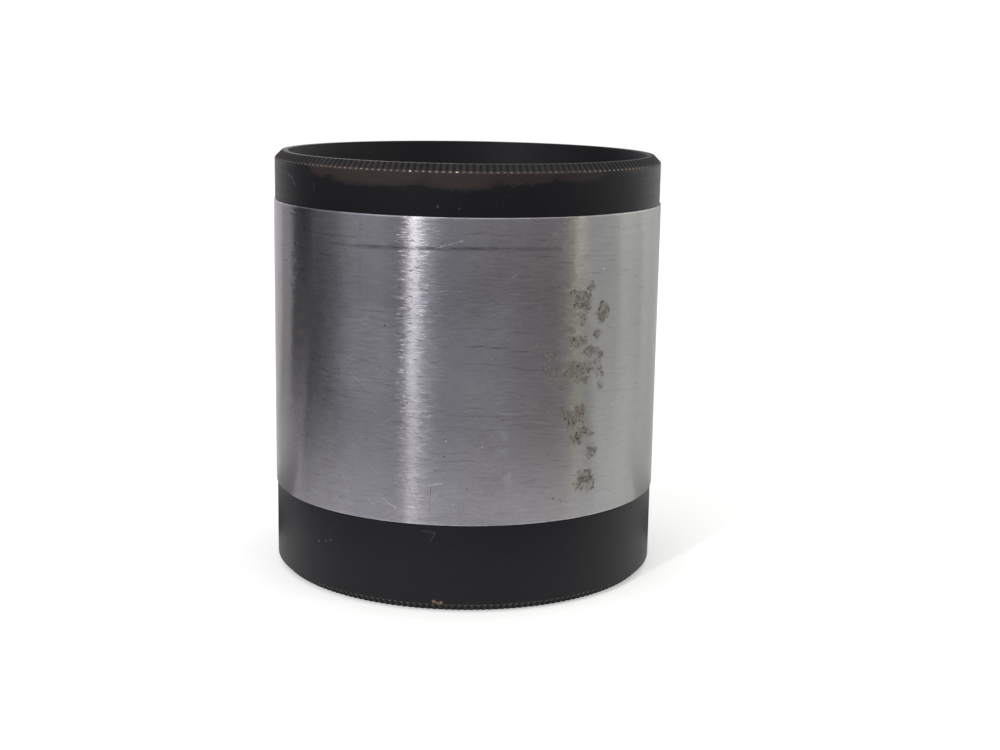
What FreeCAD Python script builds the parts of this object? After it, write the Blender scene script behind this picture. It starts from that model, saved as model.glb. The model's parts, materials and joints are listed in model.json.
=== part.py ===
"""Projection lens: a short, fast, six-element lens in a 62.5 mm barrel.

The lens stands on its rear end. A bare turned aluminium barrel carries a black lacquered brass cell
in each end. Each cell is one turned piece: the ring that shows, with a fluted bevel for the fingers,
and behind it the threaded spigot, the glass seats and the tail that the inner mount screws into.
The optics are a double Gauss: a single front meniscus, a cemented pair on each side of the stop,
and a single rear element. Units are millimetres. Z runs along the optical axis, from the lamp side
at the bottom to the screen side at the top, and the origin is the centre of the foot.
"""

import FreeCAD, Part
import os
from math import cos, pi, sin, sqrt

V = FreeCAD.Vector

# Barrel and the two rings that show
barrel_radius = 31.25
barrel_length = 46.1
barrel_wall = 2.0
barrel_chamfer = 0.2
ring_step = 0.2
rear_grip_height = 13.6
front_grip_height = 7.6
grip_wall = 2.15
grip_bevel = 1.1
front_opening_depth = 4.4
cap_stop_width = 0.9
flare_depth = 2.6
rear_opening_depth = 3.4

# Flutes of the two bevels, one millimetre apart as a straight knurl tool rolls them
flute_pitch = 0.985
flute_depth = 0.27
flute_share = 0.8

# Screw thread between barrel and cells, drawn at its mean diameters
spigot_length = 8.0
thread_relief_width = 1.0
thread_relief_depth = 0.55
spigot_chamfer = 0.4
bore_step = 1.0
cell_wall = 1.62
tail_step = 1.55
front_tail_wall = 3.62
rear_tail_wall = 5.62
foot_land = 6.9
front_tail_length = 7.7
rear_tail_length = 2.4

# Clearances
thread_play = 0.08
ring_play = 0.05
glass_play = 0.03
seat_play = 0.02
run_out = 0.4

# Optics. A bend is a radius of curvature divided by the half diameter of its glass
front_recess = 4.5
front_element_bend = 1.708
front_element_back_bend = 4.628
front_element_edge = 2.25
front_air_gap = 0.4
front_crown_bend = 1.43
front_crown_edge = 1.25
front_flint_curve = 18.4
front_flint_thickness = 2.9
front_flint_margin = 1.9
rear_recess = 3.6
rear_element_bend = 6.74
rear_element_back_bend = 3.0175
rear_element_edge = 1.5
rear_air_gap = 0.4
rear_crown_bend = 1.6
rear_crown_edge = 2.08
rear_flint_curve = 21.57
rear_flint_thickness = 2.9
rear_flint_margin = 0.9

# Seats, mounts and threaded rings round the glass
seat_width = 3.0
rear_seat_width = 1.2
web_thickness = 2.9
front_mount_wall = 3.95
rear_mount_wall = 3.95
mount_shoulder = 1.8
shoulder_margin = 1.0
ring_bite = 2.0
inner_ring_bite = 1.0
front_ring_height = 2.8
rear_ring_height = 2.2
inner_ring_height = 1.95
ring_overlap = 1.1
inner_ring_overlap = 0.8
ring_chamfer = 0.8
slot_width = 2.0
slot_depth = 1.0

# Stop plate, clamped on a rib near the middle of the barrel
stop_radius = 11.6
stop_thickness = 0.8
stop_drop = 8.05
rib_height = 2.0
rib_width = 1.05
stop_ring_height = 1.8
stop_ring_width = 2.2

# Where the pieces meet, from foot to rim
barrel_bottom = rear_grip_height
barrel_top = barrel_bottom + barrel_length
rim_top = barrel_top + front_grip_height
ring_radius = barrel_radius - ring_step
opening_radius = ring_radius - grip_wall
thread_bore_radius = barrel_radius - barrel_wall
spigot_radius = thread_bore_radius - thread_play
middle_bore_radius = thread_bore_radius - bore_step
tail_radius = spigot_radius - tail_step
relief_radius = spigot_radius - thread_relief_depth
flute_count = int(round(2 * pi * ring_radius / flute_pitch))

# Half diameters of the glass, from the barrel inwards
front_thread_radius = relief_radius - cell_wall
front_element_radius = front_thread_radius - ring_bite
front_mount_bore = tail_radius - front_tail_wall
front_mount_radius = front_mount_bore - ring_play
front_doublet_radius = front_mount_radius - front_mount_wall
front_flint_clear_radius = stop_radius + front_flint_margin
rear_thread_radius = opening_radius - foot_land
rear_element_radius = rear_thread_radius - ring_bite
rear_mount_bore = tail_radius - rear_tail_wall
rear_mount_radius = rear_mount_bore - ring_play
rear_doublet_radius = rear_mount_radius - rear_mount_wall
rear_flint_clear_radius = stop_radius + rear_flint_margin


def sag(curve, radius):
    """Depth of a spherical surface at a radius, below its vertex."""
    return curve - sqrt(curve * curve - radius * radius)


# Radii of curvature and centre thicknesses
front_element_curve = front_element_radius * front_element_bend
front_element_back_curve = front_element_radius * front_element_back_bend
front_element_sags = (sag(front_element_curve, front_element_radius)
                      - sag(front_element_back_curve, front_element_radius))
front_element_thickness = front_element_edge + front_element_sags
front_crown_curve = front_doublet_radius * front_crown_bend
front_crown_thickness = front_crown_edge + sag(front_crown_curve, front_doublet_radius)
rear_element_curve = rear_element_radius * rear_element_bend
rear_element_back_curve = rear_element_radius * rear_element_back_bend
rear_element_sags = (sag(rear_element_curve, rear_element_radius)
                     + sag(rear_element_back_curve, rear_element_radius))
rear_element_thickness = rear_element_edge + rear_element_sags
rear_crown_curve = rear_doublet_radius * rear_crown_bend
rear_crown_thickness = rear_crown_edge + sag(rear_crown_curve, rear_doublet_radius)

# Vertices of the glass surfaces, down from the rim and up from the foot
front_vertex = rim_top - front_recess
front_back_vertex = front_vertex - front_element_thickness
front_crown_vertex = front_back_vertex - front_air_gap
front_cement = front_crown_vertex - front_crown_thickness
front_flint_vertex = front_cement - front_flint_thickness
rear_vertex = rear_recess
rear_top_vertex = rear_vertex + rear_element_thickness
rear_crown_vertex = rear_top_vertex + rear_air_gap
rear_cement = rear_crown_vertex + rear_crown_thickness
rear_flint_vertex = rear_cement + rear_flint_thickness

# Seats of the glass and of the mounts
front_seat = front_back_vertex - sag(front_element_back_curve, front_element_radius)
front_web_bottom = front_seat - web_thickness
front_flint_flat = front_flint_vertex - sag(front_flint_curve, front_flint_clear_radius)
rear_aperture_radius = rear_element_radius - rear_seat_width
rear_seat = rear_top_vertex - sag(rear_element_curve, rear_aperture_radius) + seat_play
rear_web_top = rear_seat + web_thickness
rear_flint_flat = rear_flint_vertex + sag(rear_flint_curve, rear_flint_clear_radius)


def turned(profile):
    """Solid of revolution about Z of a closed profile of (radius, height) points."""
    points = [V(radius, 0, height) for radius, height in profile]
    face = Part.Face(Part.makePolygon(points + points[:1]))
    return face.revolve(V(0, 0, 0), V(0, 0, 1), 360)


def ball(curve, vertex, up):
    """Sphere whose surface passes through a vertex on the axis, bulging up or down."""
    return Part.makeSphere(curve, V(0, 0, vertex - curve if up else vertex + curve))


def disc(radius, bottom, top):
    """Plain cylinder between two heights."""
    return Part.makeCylinder(radius, top - bottom, V(0, 0, bottom))


def slotted(ring, radius, face, into):
    """Cut two spanner slots across a threaded ring, from a face down or up into it."""
    low = min(face, face + into)
    box = Part.makeBox(2 * radius, slot_width, abs(into), V(-radius, -slot_width / 2, low))
    return ring.cut(box)


def fluted(cell, edge, outward):
    """Roll straight flutes into a 45 degree bevel. edge is the height where the bevel meets the side."""
    half = flute_share * pi * ring_radius / flute_count
    reach = 2 * grip_bevel
    lift = flute_depth
    # corners of the V in the plane across the bevel: two above its surface, one below
    across = [(-2 * half, lift), (2 * half, lift), (0, -flute_depth)]
    slope = sqrt(0.5)
    middle_radius = ring_radius - grip_bevel / 2
    middle_height = edge + outward * grip_bevel / 2
    points = []
    for side, rise in across:
        start_radius = middle_radius + rise * slope - reach * slope
        start_height = middle_height + outward * (rise * slope + reach * slope)
        points.append(V(start_radius, side, start_height))
    run = V(2 * reach * slope, 0, -outward * 2 * reach * slope)
    cutter = Part.Face(Part.makePolygon(points + points[:1])).extrude(run)
    cutters = []
    for n in range(flute_count):
        copy = cutter.copy()
        copy.rotate(V(0, 0, 0), V(0, 0, 1), 360 * n / flute_count)
        cutters.append(copy)
    return cell.cut(Part.makeCompound(cutters))


# Barrel: a tube with a threaded counterbore in each end and a rib for the stop plate
stop_seat = barrel_bottom + barrel_length / 2 - stop_drop + rib_height
rib_bottom = stop_seat - rib_height
rib_radius = middle_bore_radius - rib_width
counterbore = spigot_length + run_out
barrel = turned([
    (thread_bore_radius + barrel_chamfer, barrel_bottom),
    (barrel_radius - barrel_chamfer, barrel_bottom),
    (barrel_radius, barrel_bottom + barrel_chamfer),
    (barrel_radius, barrel_top - barrel_chamfer),
    (barrel_radius - barrel_chamfer, barrel_top),
    (thread_bore_radius + barrel_chamfer, barrel_top),
    (thread_bore_radius, barrel_top - barrel_chamfer),
    (thread_bore_radius, barrel_top - counterbore),
    (middle_bore_radius, barrel_top - counterbore),
    (middle_bore_radius, stop_seat),
    (rib_radius, stop_seat),
    (rib_radius, rib_bottom),
    (middle_bore_radius, rib_bottom),
    (middle_bore_radius, barrel_bottom + counterbore),
    (thread_bore_radius, barrel_bottom + counterbore),
    (thread_bore_radius, barrel_bottom + barrel_chamfer),
])

# Stop plate on the rib, and the threaded ring that holds it down
stop_top = stop_seat + stop_thickness
stop_outer = middle_bore_radius - ring_play
aperture_stop = disc(stop_outer, stop_seat, stop_top).cut(disc(stop_radius, stop_seat, stop_top))
stop_ring_top = stop_top + stop_ring_height
stop_ring = turned([
    (stop_outer - stop_ring_width, stop_top),
    (stop_outer, stop_top),
    (stop_outer, stop_ring_top),
    (stop_outer - stop_ring_width, stop_ring_top),
])
stop_ring = slotted(stop_ring, middle_bore_radius, stop_ring_top, -slot_depth)

# Glass: each element is its edge cylinder, trimmed by its two surfaces
front_element = disc(front_element_radius, front_seat, front_vertex)
front_element = front_element.common(ball(front_element_curve, front_vertex, True))
front_element = front_element.cut(ball(front_element_back_curve, front_back_vertex, True))
front_doublet_crown = disc(front_doublet_radius, front_cement, front_crown_vertex)
front_doublet_crown = front_doublet_crown.common(ball(front_crown_curve, front_crown_vertex, True))
front_doublet_flint = disc(front_doublet_radius, front_flint_flat, front_cement)
front_doublet_flint = front_doublet_flint.cut(ball(front_flint_curve, front_flint_vertex, True))
rear_doublet_flint = disc(rear_doublet_radius, rear_cement, rear_flint_flat)
rear_doublet_flint = rear_doublet_flint.cut(ball(rear_flint_curve, rear_flint_vertex, False))
rear_doublet_crown = disc(rear_doublet_radius, rear_crown_vertex, rear_cement)
rear_doublet_crown = rear_doublet_crown.common(ball(rear_crown_curve, rear_crown_vertex, False))
rear_element = disc(rear_element_radius, rear_vertex, rear_top_vertex)
rear_element = rear_element.common(ball(rear_element_curve, rear_top_vertex, True))
rear_element = rear_element.common(ball(rear_element_back_curve, rear_vertex, False))

# Mount of the front pair: open towards the front, with the pair on its lower shoulder
front_inner_thread = front_doublet_radius + inner_ring_bite
front_inner_ring_in = front_doublet_radius - inner_ring_overlap
front_inner_ring_bottom = front_crown_vertex - sag(front_crown_curve, front_inner_ring_in) + seat_play
front_mount_bottom = front_flint_flat - mount_shoulder
front_doublet_mount = turned([
    (front_flint_clear_radius + shoulder_margin, front_mount_bottom),
    (front_mount_radius, front_mount_bottom),
    (front_mount_radius, front_web_bottom),
    (front_inner_thread, front_web_bottom),
    (front_inner_thread, front_inner_ring_bottom - seat_play),
    (front_doublet_radius + glass_play, front_inner_ring_bottom - seat_play),
    (front_doublet_radius + glass_play, front_flint_flat),
    (front_flint_clear_radius + shoulder_margin, front_flint_flat),
])
front_inner_ring_top = front_inner_ring_bottom + inner_ring_height
front_doublet_ring = turned([
    (front_inner_ring_in, front_inner_ring_bottom),
    (front_inner_thread - ring_play, front_inner_ring_bottom),
    (front_inner_thread - ring_play, front_inner_ring_top),
    (front_inner_ring_in, front_inner_ring_top),
])
front_doublet_ring = slotted(
    front_doublet_ring, front_inner_thread, front_inner_ring_top, -slot_depth)

# Front cell: fluted ring, threaded spigot, front element's seat and tail
front_ring_in = front_element_radius - ring_overlap
front_ring_bottom = front_vertex - sag(front_element_curve, front_ring_in) + seat_play
front_ring_top = front_ring_bottom + front_ring_height
opening_floor = rim_top - front_opening_depth
flare_bottom = opening_floor - flare_depth
spigot_bottom = barrel_top - spigot_length
front_cell = turned([
    (ring_radius, barrel_top),
    (ring_radius, rim_top - grip_bevel),
    (ring_radius - grip_bevel, rim_top),
    (opening_radius, rim_top),
    (opening_radius, opening_floor),
    (opening_radius - cap_stop_width, opening_floor),
    (front_thread_radius, flare_bottom),
    (front_thread_radius, front_ring_bottom - seat_play),
    (front_element_radius + glass_play, front_ring_bottom - seat_play),
    (front_element_radius + glass_play, front_seat),
    (front_element_radius - seat_width, front_seat),
    (front_element_radius - seat_width, front_web_bottom),
    (front_mount_bore, front_web_bottom),
    (front_mount_bore, spigot_bottom - front_tail_length),
    (tail_radius, spigot_bottom - front_tail_length),
    (tail_radius, spigot_bottom),
    (spigot_radius - spigot_chamfer, spigot_bottom),
    (spigot_radius, spigot_bottom + spigot_chamfer),
    (spigot_radius, barrel_top - thread_relief_width),
    (relief_radius, barrel_top - thread_relief_width),
    (relief_radius, barrel_top),
])
front_cell = fluted(front_cell, rim_top - grip_bevel, 1)

# Threaded ring over the front element, with its inner edge turned back
front_retaining_ring = turned([
    (front_ring_in, front_ring_bottom),
    (front_thread_radius - ring_play, front_ring_bottom),
    (front_thread_radius - ring_play, front_ring_top),
    (front_ring_in + ring_chamfer, front_ring_top),
    (front_ring_in, front_ring_top - ring_chamfer),
])
front_retaining_ring = slotted(
    front_retaining_ring, front_thread_radius, front_ring_top, -slot_depth)

# Mount of the rear pair: open towards the rear, with the pair against its upper shoulder
rear_inner_thread = rear_doublet_radius + inner_ring_bite
rear_inner_ring_in = rear_doublet_radius - inner_ring_overlap
rear_inner_ring_top = rear_crown_vertex + sag(rear_crown_curve, rear_inner_ring_in) - seat_play
rear_mount_top = rear_flint_flat + mount_shoulder
rear_doublet_mount = turned([
    (rear_inner_thread, rear_web_top),
    (rear_mount_radius, rear_web_top),
    (rear_mount_radius, rear_mount_top),
    (rear_flint_clear_radius + shoulder_margin, rear_mount_top),
    (rear_flint_clear_radius + shoulder_margin, rear_flint_flat),
    (rear_doublet_radius + glass_play, rear_flint_flat),
    (rear_doublet_radius + glass_play, rear_inner_ring_top + seat_play),
    (rear_inner_thread, rear_inner_ring_top + seat_play),
])
rear_inner_ring_bottom = rear_inner_ring_top - inner_ring_height
rear_doublet_ring = turned([
    (rear_inner_ring_in, rear_inner_ring_bottom),
    (rear_inner_thread - ring_play, rear_inner_ring_bottom),
    (rear_inner_thread - ring_play, rear_inner_ring_top),
    (rear_inner_ring_in, rear_inner_ring_top),
])
rear_doublet_ring = slotted(
    rear_doublet_ring, rear_inner_thread, rear_inner_ring_bottom, slot_depth)

# Rear cell: fluted foot ring, rear element's seat, threaded spigot and short tail
rear_ring_in = rear_element_radius - ring_overlap
rear_ring_top = rear_vertex + sag(rear_element_back_curve, rear_ring_in) - seat_play
rear_ring_bottom = rear_ring_top - rear_ring_height
spigot_top = barrel_bottom + spigot_length
rear_cell = turned([
    (ring_radius, barrel_bottom),
    (ring_radius, grip_bevel),
    (ring_radius - grip_bevel, 0),
    (opening_radius, 0),
    (opening_radius, rear_opening_depth),
    (rear_thread_radius, rear_opening_depth),
    (rear_thread_radius, rear_ring_top + seat_play),
    (rear_element_radius + glass_play, rear_ring_top + seat_play),
    (rear_element_radius + glass_play, rear_seat),
    (rear_aperture_radius, rear_seat),
    (rear_aperture_radius, rear_web_top),
    (rear_mount_bore, rear_web_top),
    (rear_mount_bore, spigot_top + rear_tail_length),
    (tail_radius, spigot_top + rear_tail_length),
    (tail_radius, spigot_top),
    (spigot_radius - spigot_chamfer, spigot_top),
    (spigot_radius, spigot_top - spigot_chamfer),
    (spigot_radius, barrel_bottom + thread_relief_width),
    (relief_radius, barrel_bottom + thread_relief_width),
    (relief_radius, barrel_bottom),
])
rear_cell = fluted(rear_cell, grip_bevel, -1)

# Threaded ring under the rear element, with its inner edge turned back
rear_retaining_ring = turned([
    (rear_ring_in + ring_chamfer, rear_ring_bottom),
    (rear_thread_radius - ring_play, rear_ring_bottom),
    (rear_thread_radius - ring_play, rear_ring_top),
    (rear_ring_in, rear_ring_top),
    (rear_ring_in, rear_ring_bottom + ring_chamfer),
])
rear_retaining_ring = slotted(
    rear_retaining_ring, rear_thread_radius, rear_ring_bottom, slot_depth)

pieces = {
    "barrel": barrel,
    "aperture_stop": aperture_stop,
    "stop_ring": stop_ring,
    "front_cell": front_cell,
    "front_retaining_ring": front_retaining_ring,
    "front_element": front_element,
    "front_doublet_mount": front_doublet_mount,
    "front_doublet_crown": front_doublet_crown,
    "front_doublet_flint": front_doublet_flint,
    "front_doublet_ring": front_doublet_ring,
    "rear_cell": rear_cell,
    "rear_retaining_ring": rear_retaining_ring,
    "rear_element": rear_element,
    "rear_doublet_mount": rear_doublet_mount,
    "rear_doublet_crown": rear_doublet_crown,
    "rear_doublet_flint": rear_doublet_flint,
    "rear_doublet_ring": rear_doublet_ring,
}

os.makedirs("parts", exist_ok=True)
for name, shape in pieces.items():
    solid = shape.Solids[0] if len(shape.Solids) == 1 else shape
    solid.exportStep(f"parts/{name}.step")
    box = solid.BoundBox
    print(f"{name}: {len(shape.Solids)} solid, valid {shape.isValid()}, {shape.Volume / 1000:.2f} cm3, "
          f"r {box.XMax:.2f}, z {box.ZMin:.2f} to {box.ZMax:.2f}")
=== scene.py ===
# %% [markdown]
# # A projection lens
# The object is a short, fast lens for a projector. A bare turned aluminium barrel, 62.5 mm across,
# holds a black lacquered brass cell in each end, and the cells hold six glass elements. The solid
# model gives every size. This lesson dresses it: smooth turned forms, rolled flutes, real threads,
# polished glass, and the wear that decades of use have left on metal and lacquer.

# %% Load the solid model
import itertools
import json
import math

import bmesh
import bpy
from mathutils import Matrix, Vector

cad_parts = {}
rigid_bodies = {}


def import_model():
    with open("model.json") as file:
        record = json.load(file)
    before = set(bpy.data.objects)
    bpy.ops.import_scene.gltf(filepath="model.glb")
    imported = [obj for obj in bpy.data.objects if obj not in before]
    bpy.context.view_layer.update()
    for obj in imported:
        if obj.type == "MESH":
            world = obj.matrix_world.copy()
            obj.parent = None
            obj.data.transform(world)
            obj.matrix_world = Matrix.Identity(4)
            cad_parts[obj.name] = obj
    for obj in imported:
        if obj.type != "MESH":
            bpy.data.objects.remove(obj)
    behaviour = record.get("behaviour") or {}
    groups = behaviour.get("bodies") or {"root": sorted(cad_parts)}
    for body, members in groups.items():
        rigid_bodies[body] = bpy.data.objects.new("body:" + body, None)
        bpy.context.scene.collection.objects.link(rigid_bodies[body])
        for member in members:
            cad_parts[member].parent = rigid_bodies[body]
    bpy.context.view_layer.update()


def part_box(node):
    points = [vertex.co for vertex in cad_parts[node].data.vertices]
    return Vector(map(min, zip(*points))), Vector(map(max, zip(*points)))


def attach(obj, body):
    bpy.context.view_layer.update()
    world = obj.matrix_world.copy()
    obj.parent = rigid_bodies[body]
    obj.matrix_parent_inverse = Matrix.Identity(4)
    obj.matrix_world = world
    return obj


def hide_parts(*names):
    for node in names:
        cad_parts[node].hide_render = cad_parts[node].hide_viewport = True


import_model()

# %% [markdown]
# ## Sizes
# Blender works in metres and a lens maker in millimetres, so every size below is written in
# millimetres and turned to metres in one place. Heights are above the foot, on which the lens stands.

# %% Main sizes in millimetres
MM = 0.001
BARREL_RADIUS = 31.25
BARREL_BOTTOM, BARREL_TOP = (z / MM for z in (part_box("barrel")[0].z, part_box("barrel")[1].z))
RING_RADIUS = 31.05
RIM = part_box("front_cell")[1].z / MM
BEVEL = 1.1
THREAD_PITCH = 1.0
print(f"barrel from {BARREL_BOTTOM:.2f} to {BARREL_TOP:.2f} mm, rim at {RIM:.2f} mm")

# %% [markdown]
# ## One helper for all node trees
# Geometry trees and shader trees are built by one small function. It adds a node, sets its options,
# and fills or links its inputs. An input may be a number, a colour, a socket or another node, and
# None leaves it as it is. Most nodes are arithmetic, so a formula may stand for one: ("ADD", a, b) is
# a Math node that adds a to b, and its parts may be formulas too.


# %% Add a node with its settings and links
def enabled(sockets):
    """The sockets that a node shows with its present options."""
    return [socket for socket in sockets if socket.enabled]


def is_formula(value):
    """True for a formula such as ("ADD", a, b)."""
    return isinstance(value, tuple) and isinstance(value[0], str)


def feed(tree, socket, value):
    """Link a node, a socket or a formula to a socket, or set the socket to a plain value."""
    if is_formula(value):
        value = add(tree, value)
    if isinstance(value, bpy.types.Node):
        value = enabled(value.outputs)[0]
    if isinstance(value, bpy.types.NodeSocket):
        tree.links.new(value, socket)
    elif value is not None:
        socket.default_value = value


def add(tree, kind, inputs=(), **settings):
    """Add a node. kind is its type or a formula, and inputs go by place or by the socket's name."""
    if is_formula(kind):
        return add(tree, "ShaderNodeMath", kind[1:], operation=kind[0])
    values = inputs if isinstance(inputs, dict) else dict(enumerate(inputs))
    values = {key: add(tree, value) if is_formula(value) else value for key, value in values.items()}
    node = tree.nodes.new(kind)
    for setting, value in settings.items():
        setattr(node, setting, value)
    sockets = enabled(node.inputs)
    for key, value in values.items():
        socket = sockets[key] if isinstance(key, int) else next(s for s in sockets if s.name == key)
        feed(tree, socket, value)
    return node


# %% Start a node group, fill its outputs and print its size
def new_group(name, kind, inputs, outputs):
    """Start a node group with named inputs and outputs. Returns it with its two end nodes."""
    tree = bpy.data.node_groups.new(name, kind)
    for way, sockets in (("INPUT", inputs), ("OUTPUT", outputs)):
        for label, socket_kind in sockets.items():
            tree.interface.new_socket(label, in_out=way, socket_type="NodeSocket" + socket_kind)
    return tree, tree.nodes.new("NodeGroupInput").outputs, tree.nodes.new("NodeGroupOutput").inputs


def hand_out(tree, result, sources):
    """Link what a tree has worked out to named sockets."""
    for label, source in sources.items():
        feed(tree, result[label], source)


def tell(tree, what):
    """Print how large a tree has grown."""
    print(f"{what}: {len(tree.nodes)} nodes")


# %% Helpers that several geometry trees share
def on_circle(tree, angle, radius, height):
    """A place at an angle and a radius round the axis, and a height."""
    x, y = (add(tree, ("MULTIPLY", (wave, angle), radius)) for wave in ("COSINE", "SINE"))
    return add(tree, "ShaderNodeCombineXYZ", [x, y, height])


def end_tree(tree, shape, finish, outlet):
    """End a geometry tree: the real shape, its material, and the way out."""
    real = add(tree, "GeometryNodeRealizeInstances", [shape])
    feed(tree, outlet, add(tree, "GeometryNodeSetMaterial", {"Geometry": real, "Material": finish}))
    tell(tree, tree.name)


# %% [markdown]
# ## Turning a section
# Almost every piece of a lens is turned on a lathe: one section, spun round the axis, is the whole
# piece. The Spin tool or a Screw modifier could do that by hand. Here a small geometry tree does it:
# it makes a grid, and each of its points looks up its radius and height in the section.

# %% Geometry tree that turns a section
turning, given, result = new_group(
    "Turn a section", "GeometryNodeTree",
    {"Section": "Geometry", "Columns": "Int", "Closed": "Bool", "Finish": "Material"},
    {"Piece": "Geometry"})
points = add(turning, "GeometryNodeAttributeDomainSize", [given["Section"]]).outputs["Point Count"]
rows = add(turning, "FunctionNodeIntegerMath", [points, given["Closed"]], operation="ADD")
edges = add(turning, "FunctionNodeIntegerMath", [given["Columns"], 1], operation="ADD")
grid = add(turning, "GeometryNodeMeshGrid", [1.0, 1.0, edges, rows])
index = add(turning, "GeometryNodeInputIndex")
row = add(turning, "FunctionNodeIntegerMath", [index, rows], operation="MODULO")
corner = add(turning, "FunctionNodeIntegerMath", [row, points], operation="MODULO")
column = add(turning, "FunctionNodeIntegerMath", [index, rows], operation="DIVIDE_FLOOR")
place = add(turning, "GeometryNodeSampleIndex",
            [given["Section"], add(turning, "GeometryNodeInputPosition"), corner],
            data_type="FLOAT_VECTOR")
radius_height = add(turning, "ShaderNodeSeparateXYZ", [place]).outputs
step = add(turning, ("DIVIDE", 2 * math.pi, given["Columns"]))
angle = add(turning, ("MULTIPLY", column, step))
place = on_circle(turning, angle, radius_height["X"], radius_height["Y"])
turned = add(turning, "GeometryNodeSetPosition",
             {"Geometry": grid.outputs["Mesh"], "Position": place})
WELD = 0.001 * MM
closed = add(turning, "GeometryNodeMergeByDistance", {"Geometry": turned, "Distance": WELD})
smooth = add(turning, "GeometryNodeSetShadeSmooth", {"Geometry": closed, "Shade Smooth": True})
end_tree(turning, smooth, given["Finish"], result["Piece"])

# %% [markdown]
# ## Rolled flutes
# A grip on a turned ring is made by a hardened wheel that is rolled round its bevel. The wheel leaves
# 198 V-shaped grooves, each a straight cut along the slope. So the tree asks of each point how far
# it lies under the slope and how deep the groove is there, and moves it down the wall at the foot or
# across the face at the top. It stores how high each point stands, for the wear on the crests.

# %% Geometry tree that rolls flutes: measuring the bevel
fluting, given, result = new_group(
    "Roll flutes", "GeometryNodeTree",
    {"Ring": "Geometry", "Flutes": "Int", "Depth": "Float", "Share": "Float",
     "Outer Radius": "Float", "Foot Height": "Float", "Bevel": "Float", "Direction": "Float",
     "Start": "Float", "Finish": "Material"},
    {"Fluted": "Geometry"})
at = add(fluting, "ShaderNodeSeparateXYZ", [add(fluting, "GeometryNodeInputPosition")]).outputs
flat = add(fluting, "ShaderNodeCombineXYZ", [at["X"], at["Y"], 0.0])
radius = add(fluting, "ShaderNodeVectorMath", [flat], operation="LENGTH").outputs["Value"]
inward = add(fluting, ("SUBTRACT", given["Outer Radius"], radius))
along = add(fluting, "ShaderNodeMath", [inward, given["Bevel"]], operation="DIVIDE", use_clamp=True)
rise = add(fluting, ("SUBTRACT", at["Z"], given["Foot Height"]))
climb = add(fluting, ("MULTIPLY", rise, given["Direction"]))
under = add(fluting, ("SUBTRACT", inward, climb))
turns = add(fluting, ("DIVIDE", ("ARCTAN2", at["Y"], at["X"]), 2 * math.pi))
counted = add(fluting, ("SUBTRACT", ("MULTIPLY", turns, given["Flutes"]), given["Start"]))
nearest = add(fluting, ("ROUND", counted))
off_centre = add(fluting, ("ABSOLUTE", ("SUBTRACT", counted, nearest)))
half = add(fluting, ("DIVIDE", given["Share"], 2.0))
deep = add(fluting, "ShaderNodeMapRange", [off_centre, 0.0, half, 1.0, 0.0])
tell(fluting, "Roll flutes, measuring")

# %% Geometry tree that rolls flutes: the cut
# Depths are measured square to the slope, and moves along the wall or the face, hence the root.
reach = add(fluting, ("MULTIPLY", given["Depth"], math.sqrt(2)))
wanted = add(fluting, ("MULTIPLY", deep, reach))
cut = add(fluting, ("MAXIMUM", ("SUBTRACT", wanted, under), 0.0))
across = add(fluting, ("MULTIPLY", cut, along))
down = add(fluting, ("MULTIPLY", ("SUBTRACT", cut, across), given["Direction"]))
move_in = add(fluting, "ShaderNodeVectorMath",
              [add(fluting, "ShaderNodeVectorMath", [flat], operation="NORMALIZE"), across],
              operation="SCALE")
move = add(fluting, "ShaderNodeVectorMath",
           [move_in, add(fluting, "ShaderNodeCombineXYZ", [0.0, 0.0, down])], operation="ADD")
place = add(fluting, "ShaderNodeVectorMath", [add(fluting, "GeometryNodeInputPosition"), move],
            operation="SUBTRACT")
stored = add(fluting, "GeometryNodeStoreNamedAttribute",
             {"Geometry": given["Ring"], "Name": "crest",
              "Selection": add(fluting, "FunctionNodeCompare", [under, reach],
                               operation="LESS_THAN"), "Value": ("SUBTRACT", 1.0, deep)})
carved = add(fluting, "GeometryNodeSetPosition", {"Geometry": stored, "Position": place})
welded = add(fluting, "GeometryNodeMergeByDistance", {"Geometry": carved, "Distance": WELD})
end_tree(fluting, welded, given["Finish"], result["Fluted"])

# %% [markdown]
# ## Screw threads
# Each cell screws into the barrel. A thread could be a curve with a profile, but near its ends such
# a curve has to be tapered by hand. Here a long strip is wound up the axis. Its fourth row falls on
# its first, so that it closes, the row between the other two is the crest, and all of them meet at
# each end, so the ridge runs out as a cut thread does.

# %% Geometry tree that cuts a thread: the strip
THREAD_STEPS = 96
STRIP_ROWS = 4
FLANK = 0.44
threading, given, result = new_group(
    "Cut a thread", "GeometryNodeTree",
    {"Piece": "Geometry", "Crest Radius": "Float", "Root Radius": "Float", "Bottom": "Float",
     "Top": "Float", "Pitch": "Float", "Finish": "Material"},
    {"Threaded": "Geometry"})
reach = add(threading, ("SUBTRACT", given["Top"], given["Bottom"]))
coils = add(threading, ("SUBTRACT", ("DIVIDE", reach, given["Pitch"]), 1.0))
length = add(threading, "FunctionNodeFloatToInt", [("MULTIPLY", coils, float(THREAD_STEPS))])
strip = add(threading, "GeometryNodeMeshGrid",
            [1.0, 1.0, add(threading, "FunctionNodeIntegerMath", [length, 1], operation="ADD"),
             STRIP_ROWS])
index = add(threading, "GeometryNodeInputIndex")
row, column = (add(threading, "FunctionNodeIntegerMath", [index, STRIP_ROWS], operation=part)
               for part in ("MODULO", "DIVIDE_FLOOR"))
row = add(threading, "FunctionNodeIntegerMath", [row, STRIP_ROWS - 1], operation="MODULO")
to_end = add(threading, ("MINIMUM", column, ("SUBTRACT", length, column)))
run_out = add(threading, "ShaderNodeMapRange", [to_end, 0.0, THREAD_STEPS / 4, 0.0, 1.0])
tell(threading, "Cut a thread, strip")

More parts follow.
